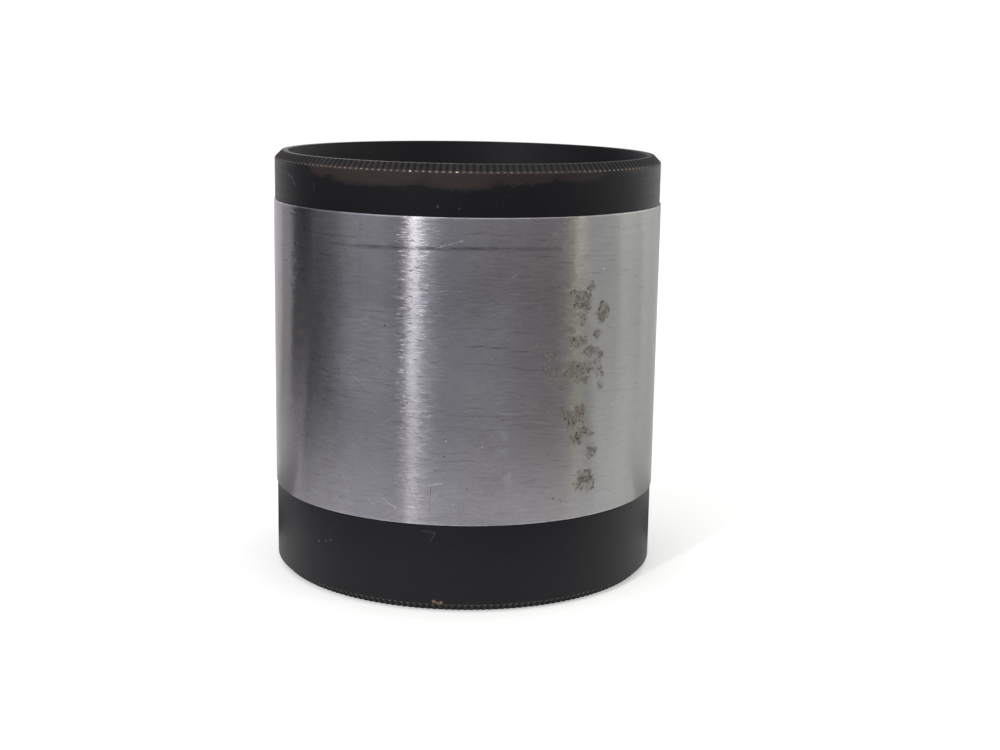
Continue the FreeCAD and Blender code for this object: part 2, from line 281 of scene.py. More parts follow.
# %% Geometry tree that cuts a thread: winding the strip
side = add(threading, ("SUBTRACT", row, 1.0))
on_crest = add(threading, ("SUBTRACT", 1.0, ("ABSOLUTE", side)))
height_share = add(threading, ("MULTIPLY", on_crest, run_out))
radius = add(threading, "ShaderNodeMapRange",
             [height_share, 0.0, 1.0, given["Root Radius"], given["Crest Radius"]])
angle = add(threading, ("MULTIPLY", column, 2 * math.pi / THREAD_STEPS))
climb = add(threading, ("ADD", ("MULTIPLY", column, 1.0 / THREAD_STEPS), 0.5))
flank = add(threading, ("MULTIPLY", ("MULTIPLY", side, run_out), FLANK))
rise = add(threading, ("MULTIPLY", ("ADD", climb, flank), given["Pitch"]))
height = add(threading, ("ADD", rise, given["Bottom"]))
wound = add(threading, "GeometryNodeSetPosition",
            {"Geometry": strip.outputs["Mesh"],
             "Position": on_circle(threading, angle, radius, height)})
ridge = add(threading, "GeometryNodeMergeByDistance", {"Geometry": wound, "Distance": WELD})
both = add(threading, "GeometryNodeJoinGeometry")
for source in (ridge.outputs[0], given["Piece"]):
    threading.links.new(source, both.inputs[0])
end_tree(threading, both, given["Finish"], result["Threaded"])

# %% [markdown]
# ## Key slots
# A threaded ring is turned with a flat key that fits two slots in its face. A saw cuts both at once
# in one pass over the middle of the ring, and so does the tree: one long bar, taken away.

# %% Geometry tree that saws slots
sawing, given, result = new_group(
    "Saw slots", "GeometryNodeTree",
    {"Ring": "Geometry", "Length": "Float", "Width": "Float", "Depth": "Float", "Face": "Float",
     "Finish": "Material"},
    {"Slotted": "Geometry"})
height = add(sawing, ("MULTIPLY", given["Depth"], 2.0))
bar = add(sawing, "GeometryNodeMeshCube",
          [add(sawing, "ShaderNodeCombineXYZ", [given["Length"], given["Width"], height])])
raised = add(sawing, "GeometryNodeTransform",
             {"Geometry": bar.outputs["Mesh"],
              "Translation": add(sawing, "ShaderNodeCombineXYZ", [0.0, 0.0, given["Face"]])})
slotted = add(sawing, "GeometryNodeMeshBoolean", [given["Ring"], raised], operation="DIFFERENCE")
end_tree(sawing, slotted.outputs["Mesh"], given["Finish"], result["Slotted"])

# %% [markdown]
# ## From section to piece
# No real edge is perfectly sharp: a turner breaks each one with a touch of the tool, and that narrow
# curve is what catches the light. So a corner of a section may carry a third number, the size of its
# rounding. The finished modifiers are turned into a plain mesh, whose normals are then set outwards.


# %% Round the corners of a section
LONGEST_ROUNDING = 0.45


def eased(section, steps=3):
    """Round a section's corners. A corner is (radius, height) or (radius, height, rounding)."""
    curve = []
    for n, corner in enumerate(section):
        here = Vector(corner[:2])
        if len(corner) < 3:
            curve.append(here)
            continue
        before = Vector(section[n - 1][:2]) - here
        after = Vector(section[(n + 1) % len(section)][:2]) - here
        run = min(corner[2], LONGEST_ROUNDING * before.length, LONGEST_ROUNDING * after.length)
        start, end = here + before.normalized() * run, here + after.normalized() * run
        for k in range(steps + 1):
            t = k / steps
            curve.append(start * (1 - t) ** 2 + here * (2 * t * (1 - t)) + end * t ** 2)
    return curve


# %% Turn a section and cut it
def stack(piece, tree, sizes):
    """Put a node tree on a piece and set its named inputs by their identifiers."""
    modifier = piece.modifiers.new(tree.name, "NODES")
    modifier.node_group = tree
    for item in tree.interface.items_tree:
        if item.in_out == "INPUT" and item.name in sizes:
            modifier[item.identifier] = sizes[item.name]


def turn(name, section, columns, finish, cuts=(), closed=True):
    """Turn a section of (radius, height) points, then cut it with further trees."""
    mesh = bpy.data.meshes.new(name)
    mesh.from_pydata([(p.x * MM, p.y * MM, 0) for p in eased(section)], [], [])
    piece = bpy.data.objects.new(name, mesh)
    bpy.context.scene.collection.objects.link(piece)
    stack(piece, turning, {"Columns": columns, "Closed": closed, "Finish": finish})
    for tree, sizes in cuts:
        stack(piece, tree, {**sizes, "Finish": finish})
    return piece


# %% Freeze a piece and seat it on its body
def freeze(piece, sharp_from=32.0):
    """Turn a piece's modifiers into a plain closed mesh with its faces pointing outwards."""
    bpy.context.view_layer.update()
    depsgraph = bpy.context.evaluated_depsgraph_get()
    mesh = bpy.data.meshes.new_from_object(piece.evaluated_get(depsgraph))
    section_mesh = piece.data
    piece.modifiers.clear()
    piece.data = mesh
    bpy.data.meshes.remove(section_mesh)
    mesh.name = piece.name
    shell = bmesh.new()
    shell.from_mesh(mesh)
    bmesh.ops.recalc_face_normals(shell, faces=shell.faces)
    open_edges = sum(not edge.is_manifold for edge in shell.edges)
    shell.to_mesh(mesh)
    shell.free()
    mesh.set_sharp_from_angle(angle=math.radians(sharp_from))
    return open_edges


def seat(piece, body, slot, *nodes):
    """Freeze a piece, let it ride on its body, and hide the solids that it stands for."""
    open_edges = freeze(piece)
    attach(piece, body)
    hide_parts(*nodes)
    triangles = sum(len(face.vertices) - 2 for face in piece.data.polygons)
    print(f"{piece.name}: {triangles} triangles, {open_edges} open edges, on {body}")
    return piece


# %% [markdown]
# ## Colours
# Colours are written as a painter would pick them from a screen. One function turns each into the
# linear values that light is worked out in.


# %% Turn a screen colour into a linear one
def linear(hex_colour):
    """Linear red, green, blue and alpha of an sRGB colour such as #8899aa."""
    parts = [int(hex_colour[i:i + 2], 16) / 255 for i in (1, 3, 5)]
    return [p / 12.92 if p <= 0.04045 else ((p + 0.055) / 1.055) ** 2.4 for p in parts] + [1.0]


def new_material(name):
    """A new material, its tree and its main shader."""
    material = bpy.data.materials.new(name)
    material.use_nodes = True
    return material, material.node_tree, material.node_tree.nodes["Principled BSDF"]


print(f"a screen's middle grey is {linear('#808080')[0]:.3f} of white in linear light")


# %% [markdown]
# ## Where a point lies on turned work
# Marks on a round piece are easiest to place as on its unrolled surface: so many millimetres round,
# so many up. This group works that out from Object coordinates. Its round measure starts at the
# front of the lens and grows to the right.

# %% Group that unrolls a round piece
unrolling, _, result = new_group("Unroll", "ShaderNodeTree", {},
                                 {"Round": "Float", "Height": "Float", "Radius": "Float",
                                  "Flat": "Vector", "Solid": "Vector", "Tangent": "Vector"})
solid = add(unrolling, "ShaderNodeVectorMath",
            [add(unrolling, "ShaderNodeTexCoord").outputs["Object"], 1 / MM], operation="SCALE")
at = add(unrolling, "ShaderNodeSeparateXYZ", [solid]).outputs
flat = add(unrolling, "ShaderNodeCombineXYZ", [at["X"], at["Y"], 0.0])
radius = add(unrolling, "ShaderNodeVectorMath", [flat], operation="LENGTH").outputs["Value"]
back = add(unrolling, ("SUBTRACT", 0.0, at["Y"]))
turned_by = add(unrolling, ("ARCTAN2", at["X"], back))
round_mm = add(unrolling, ("MULTIPLY", turned_by, BARREL_RADIUS))
unrolled = add(unrolling, "ShaderNodeCombineXYZ", [round_mm, at["Z"], 0.0])
tangent = add(unrolling, "ShaderNodeVectorMath", [(0.0, 0.0, 1.0), flat], operation="CROSS_PRODUCT")
world_tangent = add(unrolling, "ShaderNodeVectorTransform", [tangent], vector_type="VECTOR",
                    convert_from="OBJECT", convert_to="WORLD")
hand_out(unrolling, result, {"Round": round_mm, "Height": at["Z"], "Radius": radius, "Flat": unrolled,
                             "Solid": solid, "Tangent": world_tangent})
tell(unrolling, "Unroll")

# %% [markdown]
# ## Grain
# Turning lines, haze, sandy specks and ragged edges are all noise of one kind, stretched in different
# ways. So one group makes it, and is told how many features lie in a millimetre along each axis.

# %% Group for grain
graining, given, result = new_group(
    "Grain", "ShaderNodeTree",
    {"Solid": "Vector", "Per Millimetre": "Vector", "Detail": "Float", "Roughness": "Float"},
    {"Grain": "Float"})
stretched = add(graining, "ShaderNodeVectorMath", [given["Solid"], given["Per Millimetre"]],
                operation="MULTIPLY")
noise = add(graining, "ShaderNodeTexNoise",
            {"Vector": stretched, "Scale": 1.0, "Detail": given["Detail"],
             "Roughness": given["Roughness"]})
hand_out(graining, result, {"Grain": noise})
tell(graining, "Grain")

# %% [markdown]
# ## Marks
# Use leaves three kinds of mark: a thin straight scratch, a soft round or long patch, and grain that
# breaks both up. A scratch is the distance to a line between two points of the unrolled surface, and
# a patch is the distance to a centre, measured in units of its own size.

# %% Groups for a scratch and a patch
scratching, given, result = new_group(
    "Scratch", "ShaderNodeTree",
    {"Flat": "Vector", "Start": "Vector", "Along": "Vector", "Length": "Float", "Width": "Float"},
    {"Mask": "Float"})
from_start = add(scratching, "ShaderNodeVectorMath", [given["Flat"], given["Start"]],
                 operation="SUBTRACT")
run = add(scratching, "ShaderNodeVectorMath", [from_start, given["Along"]], operation="DOT_PRODUCT")
kept = add(scratching, "ShaderNodeClamp", [run.outputs["Value"], 0.0, given["Length"]])
nearest = add(scratching, "ShaderNodeVectorMath", [given["Along"], kept], operation="SCALE")
away = add(scratching, "ShaderNodeVectorMath", [from_start, nearest], operation="DISTANCE")
mask = add(scratching, "ShaderNodeMapRange", [away.outputs["Value"], 0.0, given["Width"], 1.0, 0.0],
           interpolation_type="SMOOTHSTEP")
hand_out(scratching, result, {"Mask": mask})
tell(scratching, "Scratch")

patching, given, result = new_group(
    "Patch", "ShaderNodeTree", {"Flat": "Vector", "Centre": "Vector", "Size": "Vector"},
    {"Mask": "Float"})
off = add(patching, "ShaderNodeVectorMath", [given["Flat"], given["Centre"]], operation="SUBTRACT")
scaled = add(patching, "ShaderNodeVectorMath", [off, given["Size"]], operation="DIVIDE")
away = add(patching, "ShaderNodeVectorMath", [scaled], operation="LENGTH")
mask = add(patching, "ShaderNodeMapRange", [away.outputs["Value"], 0.35, 1.0, 1.0, 0.0],
           interpolation_type="SMOOTHSTEP")
hand_out(patching, result, {"Mask": mask})
tell(patching, "Patch")


# %% Draw lists of marks
def on_ring(degrees, height):
    """A place on the unrolled surface, from degrees round the front and a height in millimetres."""
    return (math.radians(degrees) * BARREL_RADIUS, height, 0.0)


def strongest(tree, *families):
    """The highest of many masks at each point.

    Each mask is joined to the total as soon as it is made: the renderer keeps only 255 numbers at
    hand for one material, and a hundred masks that wait for each other would not fit.
    """
    total = None
    for mask in itertools.chain(*families):
        total = mask if total is None else add(tree, ("MAXIMUM", total, mask))
    return total


def scratches(tree, flat, rows):
    """Scratches from rows of degrees and height at each end, half width and strength."""
    for start, start_z, end, end_z, width, strength in rows:
        begin = Vector(on_ring(start, start_z))
        whole = Vector(on_ring(end, end_z)) - begin
        line = add(tree, "ShaderNodeGroup",
                   {"Flat": flat, "Start": begin, "Along": whole.normalized(),
                    "Length": whole.length, "Width": width}, node_tree=scratching)
        yield add(tree, ("MULTIPLY", line, strength))


def patches(tree, flat, rows):
    """Soft patches from rows of degrees and height at the centre, half sizes and strength."""
    for degrees, height, half_round, half_high, strength in rows:
        patch = add(tree, "ShaderNodeGroup",
                    {"Flat": flat, "Centre": on_ring(degrees, height),
                     "Size": (half_round, half_high, 1.0)}, node_tree=patching)
        yield add(tree, ("MULTIPLY", patch, strength))


def marked(tree, flat, lines=(), dots=()):
    """One mask for a list of scratches and a list of patches."""
    return strongest(tree, scratches(tree, flat, lines), patches(tree, flat, dots))


# %% Scattered specks, and paints in layers
def specks(tree, solid, per_mm, core, edge, strength):
    """Scattered round specks of one strength, from a core to an edge in units of their spacing."""
    points = add(tree, "ShaderNodeTexVoronoi", {"Vector": solid, "Scale": per_mm})
    return add(tree, "ShaderNodeMapRange", [points.outputs["Distance"], core, edge, strength, 0.0])


def paint_over(tree, colour, layers):
    """Lay screen colours over a colour, each through its own mask."""
    for mask, paint in layers:
        colour = add(tree, "ShaderNodeMix", [mask, colour, linear(paint)], data_type="RGBA")
    return colour


# %% [markdown]
# ## Bare turned aluminium
# The barrel is aluminium tube, turned and never anodised. Every pass of the tool leaves a fine groove
# right round it, so light spreads far up and down but hardly sideways, and each lamp shows as an
# upright stripe. The anisotropic setting does that, with a tangent that runs round the axis. Bare
# aluminium dulls, so the colour is a mid grey, and it carries pale scratches, dark rubbed lines and
# brown pitted spots. Its bore is painted matt black, to stop stray light.

# %% Turned aluminium: lines of the tool
aluminium, metal, shader = new_material("bare turned aluminium")
where = add(metal, "ShaderNodeGroup", node_tree=unrolling).outputs
flat, solid = where["Flat"], where["Solid"]
# Tool marks are about 0.05 mm apart. They are drawn 0.2 mm apart, so that they show.
long_lines, short_lines, flecks, clouds, haze, sand = (
    add(metal, "ShaderNodeGroup", [solid, per_mm, detail, roughness], node_tree=graining)
    for per_mm, detail, roughness in (
        ((0.03, 0.03, 4.5), 2.0, 0.6), ((0.45, 0.45, 3.6), 3.0, 0.65), ((0.8, 0.8, 5.0), 2.0, 0.6),
        ((0.07, 0.07, 0.05), 3.0, 0.55), ((0.5, 0.5, 0.7), 5.0, 0.7), ((3.2, 3.2, 3.2), 2.0, 0.6)))
lines = add(metal, "ShaderNodeMix", [0.55, long_lines, short_lines], data_type="FLOAT")
tell(metal, "Aluminium, lines")

# %% Turned aluminium: where the marks lie
PALE_SCRATCHES = (
    (-8.3, 55.25, -1.1, 56.4, 0.1, 0.62), (-9.0, 48.7, -4.7, 49.2, 0.07, 0.4),
    (-19.8, 47.9, -15.3, 47.6, 0.09, 0.45), (10.8, 50.3, 15.1, 52.3, 0.07, 0.35),
    (-37.6, 37.3, -30.4, 34.5, 0.09, 0.5), (-37.0, 36.4, -31.2, 34.0, 0.07, 0.35),
    (-38.9, 36.6, -40.2, 32.5, 0.07, 0.22), (-11.5, 19.6, -6.3, 20.1, 0.1, 0.6),
    (-18.1, 29.5, -16.0, 29.4, 0.08, 0.4), (-21.4, 28.3, -19.2, 28.1, 0.09, 0.5),
    (3.6, 25.2, 4.9, 25.9, 0.14, 0.5), (2.2, 31.9, 6.2, 32.5, 0.09, 0.3),
    (-29.4, 23.0, -23.6, 20.5, 0.07, 0.25), (-5.3, 42.8, -2.5, 43.1, 0.09, 0.5),
    (-4.2, 44.9, -2.7, 45.1, 0.09, 0.5),
    (-60.2, 27.0, -52.4, 26.1, 0.09, 0.25), (21.2, 55.7, 27.4, 59.1, 0.08, 0.2),
    (-27.9, 16.8, -24.3, 15.7, 0.08, 0.35), (-23.5, 17.3, -18.9, 15.8, 0.08, 0.42),
    (-15.6, 16.2, -12.3, 16.3, 0.1, 0.55), (-9.1, 18.4, -7.0, 18.1, 0.08, 0.4),
    (-25.1, 17.8, -23.1, 17.7, 0.08, 0.4),
    (110.0, 47.0, 128.0, 45.1, 0.09, 0.4), (171.0, 26.0, 166.0, 31.0, 0.1, 0.4),
    (-141.0, 51.3, -129.0, 50.6, 0.09, 0.4), (150.0, 21.4, 161.0, 22.0, 0.1, 0.4))
DARK_LINES = (
    (-43.4, 32.5, -31.3, 31.9, 0.1, 0.5), (-43.6, 30.9, -25.9, 30.0, 0.1, 0.5),
    (-5.8, 30.5, 12.0, 30.4, 0.09, 0.5), (-5.7, 28.9, 8.3, 28.3, 0.09, 0.45),
    (9.0, 30.0, 30.2, 30.05, 0.08, 0.45), (10.0, 28.9, 30.3, 28.5, 0.08, 0.4),
    (-13.9, 27.9, -10.9, 26.2, 0.1, 0.7), (-16.9, 21.3, -13.0, 16.2, 0.08, 0.75),
    (-13.0, 16.2, -12.0, 14.4, 0.07, 0.5), (-9.2, 19.6, -9.4, 15.7, 0.09, 0.8),
    (-70.3, 51.3, -70.3, 50.4, 0.16, 0.9), (48.1, 57.3, 65.9, 57.6, 0.1, 0.45),
    (40.8, 32.9, 58.6, 31.9, 0.09, 0.4), (44.0, 36.0, 56.0, 35.4, 0.09, 0.35),
    (-73.9, 31.0, -53.2, 30.6, 0.1, 0.45), (-35.7, 35.5, -18.2, 35.2, 0.09, 0.35),
    (-63.3, 19.8, -50.1, 18.0, 0.09, 0.4), (-27.6, 27.7, -30.7, 22.6, 0.08, 0.4),
    (-50.6, 16.7, -31.3, 17.1, 0.09, 0.35), (-30.2, 58.6, -30.2, 47.2, 0.11, 0.5),
    (-13.8, 41.8, -12.7, 41.5, 0.13, 0.8), (-12.7, 41.5, -12.4, 40.9, 0.13, 0.7),
    (46.9, 58.6, 46.6, 56.2, 0.09, 0.5), (19.3, 18.0, 30.5, 16.4, 0.08, 0.45),
    (-36.7, 16.1, -34.0, 15.1, 0.08, 0.5), (-34.0, 15.1, -30.9, 14.2, 0.08, 0.5),
    (-50.8, 18.6, -42.7, 19.1, 0.08, 0.5), (7.4, 15.0, 10.6, 15.7, 0.08, 0.4),
    (0.4, 24.4, 1.2, 17.0, 0.09, 0.2), (28.0, 54.0, 46.0, 53.4, 0.08, 0.3),
    (95.0, 41.0, 132.0, 40.1, 0.12, 0.4), (-165.0, 33.0, -128.0, 34.2, 0.12, 0.4),
    (140.0, 55.2, 176.0, 54.6, 0.14, 0.4))
SMUDGES = (
    (-40.3, 54.95, -31.0, 54.9, 0.28, 0.6), (-31.0, 54.9, -13.0, 55.1, 0.5, 0.95),
    (-13.0, 55.1, 8.0, 55.3, 0.5, 0.95), (8.0, 55.3, 26.0, 55.0, 0.45, 0.6),
    (-42.0, 56.1, -31.5, 56.2, 0.25, 0.4), (26.0, 55.0, 44.0, 54.2, 0.25, 0.25))
PITTED = (
    (36.4, 49.1, 1.1, 1.0, 0.7), (33.7, 47.0, 2.3, 2.2, 1.0), (30.1, 48.3, 1.3, 1.2, 0.45),
    (41.0, 45.1, 1.7, 2.0, 0.95), (33.7, 44.3, 1.1, 0.9, 0.55), (38.9, 41.7, 1.2, 1.2, 0.6),
    (32.7, 40.9, 2.0, 1.3, 0.95), (30.1, 42.7, 0.9, 0.9, 0.5), (36.9, 39.3, 2.1, 1.1, 0.7),
    (40.1, 38.3, 1.1, 1.2, 0.75), (31.7, 36.5, 2.6, 2.1, 0.95), (37.4, 36.9, 2.3, 1.2, 0.65),
    (40.8, 36.0, 1.0, 1.2, 0.6), (34.8, 35.2, 1.3, 0.7, 0.9), (40.6, 33.9, 1.1, 1.1, 0.5),
    (23.1, 39.1, 1.3, 1.1, 0.45), (22.6, 37.3, 1.1, 1.0, 0.45), (25.6, 36.6, 1.1, 1.0, 0.42),
    (23.0, 35.7, 1.2, 0.6, 0.45), (27.8, 34.2, 1.1, 0.6, 0.45), (29.1, 29.9, 1.2, 1.2, 0.95),
    (33.4, 30.3, 1.6, 1.5, 0.95), (30.9, 28.5, 1.5, 1.5, 1.0), (34.8, 27.1, 1.1, 1.1, 1.0),
    (37.8, 26.7, 1.2, 0.4, 0.8), (32.3, 26.2, 2.0, 1.2, 1.0), (35.0, 29.0, 1.1, 1.1, 0.6),
    (38.0, 23.8, 1.3, 1.3, 0.8), (36.3, 19.9, 2.3, 1.6, 0.9), (33.8, 18.7, 1.2, 1.1, 0.85),
    (38.3, 18.4, 1.3, 0.9, 0.6), (19.6, 41.0, 0.4, 0.5, 0.75), (152.0, 36.0, 2.9, 2.2, 0.8),
    (149.0, 39.5, 1.5, 1.2, 0.6), (-118.0, 24.0, 2.0, 1.5, 0.7), (-122.0, 26.5, 1.2, 1.0, 0.6))
BLOOM = ((10.5, 26.0, 1.1, 4.4, 0.42), (11.8, 22.0, 0.9, 2.6, 0.34), (31.5, 40.0, 3.2, 15.0, 0.3),
         (33.5, 53.0, 2.0, 5.0, 0.25))
TARNISH = ((19.0, 40.0, 6.5, 34.0, 0.5), (-63.0, 45.0, 4.0, 24.0, 0.5), (24.0, 18.0, 5.0, 12.0, 0.4),
           (-70.0, 25.0, 6.0, 16.0, 0.4), (160.0, 40.0, 16.0, 20.0, 0.5))
WARMER = ((60.0, 36.0, 24.0, 60.0, 0.7), (-170.0, 36.0, 20.0, 60.0, 0.5))
COOLER = ((-27.0, 40.0, 7.0, 40.0, 0.6), (-6.0, 42.0, 5.0, 40.0, 0.5))
# Two paler patches where the glow of the key lamp falls across the face: painted sheen.
PAINTED_SHEEN = ((-29.0, 39.0, 10.0, 11.0, 0.7), (9.0, 39.0, 15.0, 11.0, 0.4))
TINY_PITS = ((-16.0, 32.1, 0.17, 0.17, 1.0), (-16.1, 28.6, 0.17, 0.17, 1.0),
             (-15.8, 33.6, 0.14, 0.14, 0.7), (0.1, 14.4, 0.25, 0.12, 0.9), (5.4, 14.2, 0.3, 0.14, 0.9),
             (-50.4, 18.2, 0.25, 0.2, 0.6), (2.6, 14.0, 0.12, 0.1, 0.8),
             (25.5, 17.2, 0.35, 0.25, 0.8), (27.5, 17.0, 0.25, 0.15, 0.6), (43.2, 17.5, 0.2, 0.2, 0.6))
BRIGHT_DOTS = ((-5.2, 26.6, 0.16, 0.16, 1.0), (-49.7, 58.8, 0.14, 0.14, 0.7),
               (-31.5, 58.4, 0.14, 0.14, 0.7), (-53.8, 55.0, 0.14, 0.14, 0.6),
               (41.0, 51.6, 0.2, 0.16, 0.8), (-3.0, 17.0, 0.14, 0.14, 0.6))
print(len(PALE_SCRATCHES) + len(DARK_LINES), "scratches and", len(PITTED), "pitted spots")

# %% Turned aluminium: a mask for each kind of mark
pale = marked(metal, flat, PALE_SCRATCHES, BRIGHT_DOTS)
dark = marked(metal, flat, DARK_LINES, TINY_PITS)
smudge = marked(metal, flat, SMUDGES)
# Corrosion creeps, so the outline of its spots wanders by up to a millimetre.
wander = add(metal, "ShaderNodeTexNoise", {"Vector": solid, "Scale": 0.9, "Detail": 2.0})
centred = add(metal, "ShaderNodeVectorMath", [wander.outputs["Color"], (0.5, 0.5, 0.5)],
              operation="SUBTRACT")
shift = add(metal, "ShaderNodeVectorMath", [centred, (2.4, 2.4, 0.0)], operation="MULTIPLY")
frayed = add(metal, "ShaderNodeVectorMath", [flat, shift], operation="ADD")
spots = marked(metal, frayed, dots=PITTED)
bloom = marked(metal, flat, dots=BLOOM)
tell(metal, "Aluminium, marks")


# %% Turned aluminium: hairlines at all angles
def hairlines_at(tree, flat, degrees, per_mm, low, high):
    """Faint straight hairlines at one slope on the unrolled surface, with gaps between them."""
    slanted = add(tree, "ShaderNodeVectorRotate", {"Vector": flat, "Angle": math.radians(degrees)},
                  rotation_type="Z_AXIS")
    thread_like = add(tree, "ShaderNodeGroup", [slanted, (0.16, per_mm, 1.0), 1.0, 0.5],
                      node_tree=graining)
    return add(tree, "ShaderNodeMapRange", [thread_like, low, high, 0.0, 1.0])


hairlines = strongest(metal, [hairlines_at(metal, flat, slope, 4.2, 0.7, 0.8)
                              for slope in (-6.0, 4.0, 14.0, -30.0)])
dark_hairlines = strongest(metal, [hairlines_at(metal, flat, slope, 3.2, 0.67, 0.8)
                                   for slope in (-3.0, 1.0, 7.0)])
tell(metal, "Aluminium, hairlines")

# %% Turned aluminium: broken scratches, corrosion and grit
# A real scratch skips: grain half a millimetre across breaks it up.
skips = add(metal, "ShaderNodeGroup", [solid, (1.6, 1.6, 1.6), 4.0, 0.7], node_tree=graining)
skipping = add(metal, "ShaderNodeMapRange", [skips, 0.4, 0.6, 0.05, 1.0])
pale_seen = add(metal, ("MAXIMUM", ("MULTIPLY", pale, skipping), ("MULTIPLY", hairlines, 0.15)))
broken = add(metal, "ShaderNodeMapRange", [short_lines, 0.36, 0.6, 0.2, 0.8])
dark_seen = add(metal, ("MAXIMUM", ("MAXIMUM", ("MULTIPLY", dark, skipping),
                                    ("MULTIPLY", smudge, broken)),
                        ("MULTIPLY", dark_hairlines, 0.36)))
# Corrosion eats in from many points at once: a grey stain, a crust in a fine net, and dark pits.
net = add(metal, "ShaderNodeGroup", [solid, (1.5, 1.5, 1.5), 4.0, 0.72], node_tree=graining)
pits = add(metal, "ShaderNodeGroup", [solid, (2.9, 2.9, 2.9), 1.0, 0.5], node_tree=graining)
reach = add(metal, ("MULTIPLY", spots, 0.17))
eaten = add(metal, "ShaderNodeMapRange", [("ADD", net, reach), 0.56, 0.68, 0.0, 1.0])
has_spot = add(metal, "ShaderNodeMapRange", [spots, 0.02, 0.3, 0.0, 1.0])
stain = add(metal, ("MULTIPLY", has_spot, 0.58))
crust = add(metal, ("MULTIPLY", eaten, has_spot))
pitted = add(metal, "ShaderNodeMapRange", [pits, 0.54, 0.65, 0.0, 1.0])
core = add(metal, ("MULTIPLY", pitted, crust))
# Here and there a single grain of grit has left a pit, or a nick that shines.
pit = specks(metal, solid, 0.42, 0.03, 0.06, 1.0)
nick = specks(metal, solid, 0.47, 0.02, 0.05, 0.5)
tell(metal, "Aluminium, corrosion")

# %% Turned aluminium: colour
CLEAN_METAL, DULL_METAL = linear("#9f9da3"), linear("#939096")
tone = add(metal, "ShaderNodeMapRange", [clouds, 0.35, 0.65, 0.0, 1.0])
colour = add(metal, "ShaderNodeMix", [tone, DULL_METAL, CLEAN_METAL], data_type="RGBA")
for grain, low, high in ((lines, 0.93, 1.06), (haze, 0.95, 1.05), (sand, 0.93, 1.06)):
    shade = add(metal, "ShaderNodeMapRange", [grain, 0.35, 0.65, low, high])
    colour = add(metal, "ShaderNodeMix", [1.0, colour, shade], data_type="RGBA", blend_type="MULTIPLY")
thinned = add(metal, "ShaderNodeMapRange", [haze, 0.45, 0.6, 0.1, 1.0])
chalky = add(metal, ("MULTIPLY", bloom, thinned))
tarnish, warmer, cooler, painted_sheen = (marked(metal, flat, dots=rows)
                                     for rows in (TARNISH, WARMER, COOLER, PAINTED_SHEEN))
# The ends of the tube rub on every shelf, which keeps their edges bright. The pale band along each
# end edge is also a painted highlight, for the line of light that the rounding of the edge catches.
MIDDLE, HALF_BARREL = (BARREL_TOP + BARREL_BOTTOM) / 2, (BARREL_TOP - BARREL_BOTTOM) / 2
from_middle = add(metal, ("ABSOLUTE", ("SUBTRACT", where["Height"], MIDDLE)))
edge_wear_and_highlight = add(metal, "ShaderNodeMapRange",
              [from_middle, HALF_BARREL - 0.25, HALF_BARREL - 0.12, 0.0, 0.45])
uneven = add(metal, "ShaderNodeMapRange", [haze, 0.38, 0.6, 0.25, 1.0])
edge = add(metal, ("MULTIPLY", edge_wear_and_highlight, uneven))
BORE_RADIUS = 29.95
bore = add(metal, ("LESS_THAN", where["Radius"], BORE_RADIUS))
colour = paint_over(metal, colour, (
    # painted sheen: the paler patches where the key lamp's glow falls
    (warmer, "#9c9d99"), (cooler, "#9b9ca8"), (painted_sheen, "#b3b3bd"), (tarnish, "#9b9597"),
    (chalky, "#b8b7b3"), (strongest(metal, [dark_seen, pit]), "#4c4a4e"),
    # the pale end edges: partly rubbed metal, partly a painted highlight
    (strongest(metal, [pale_seen, nick]), "#f0f0f0"), (edge, "#dcdce2"), (stain, "#8b8782"),
    (crust, "#6e6861"), (core, "#2f2a25"), (bore, "#141417")))
tell(metal, "Aluminium, colour")

# %% Turned aluminium: gloss and relief
marred = strongest(metal, [crust, bore])
metalness = add(metal, "ShaderNodeMapRange", [marred, 0.0, 1.0, 1.0, 0.0])
turned_gloss = add(metal, "ShaderNodeMapRange", [short_lines, 0.3, 0.7, 0.275, 0.34])
gloss = add(metal, "ShaderNodeMix", [marred, turned_gloss, 0.75], data_type="FLOAT")
# Each short mark tilts the surface a little to one side, most of them hardly, a few by some degrees.
# So the stripe of a lamp has a sharp core and frays sideways into fine streaks.
TILT = 1.2
lean = add(metal, ("SUBTRACT", flecks, 0.5))
lean = add(metal, ("MULTIPLY", lean, ("ABSOLUTE", lean)))
sideways = add(metal, "ShaderNodeVectorMath",
               {"Vector": where["Tangent"], "Scale": ("MULTIPLY", lean, TILT / BARREL_RADIUS)},
               operation="SCALE")
tilted = add(metal, "ShaderNodeVectorMath",
             [add(metal, "ShaderNodeNewGeometry").outputs["Normal"], sideways], operation="ADD")
tilted = add(metal, "ShaderNodeVectorMath", [tilted], operation="NORMALIZE")
groove = add(metal, "ShaderNodeBump", {"Strength": 1.0, "Distance": 0.004 * MM, "Height": short_lines,
                                       "Normal": tilted})
dent = add(metal, ("MULTIPLY", strongest(metal, [crust, pale_seen]), -1.0))
bump = add(metal, "ShaderNodeBump",
           {"Strength": 0.6, "Distance": 0.03 * MM, "Height": dent, "Normal": groove})
hand_out(metal, shader.inputs, {"Base Color": colour, "Metallic": metalness, "Roughness": gloss,
                                "Normal": bump, "Tangent": where["Tangent"]})
shader.inputs["Anisotropic"].default_value = 1.0
shader.inputs["Anisotropic Rotation"].default_value = 0.25
shader.inputs["Specular Tint"].default_value = linear("#c8c8c8")
tell(metal, "Aluminium")

# %% [markdown]
# ## Black lacquered brass
# The two cells are brass, turned, then stoved with black lacquer, which is hard, thin and satin. It
# has worn to a brown haze just under the top grip, where fingers turn the cell, and right through to
# brass on the very tips of some flutes. The brown edge is ragged, so grain moves it up and down.

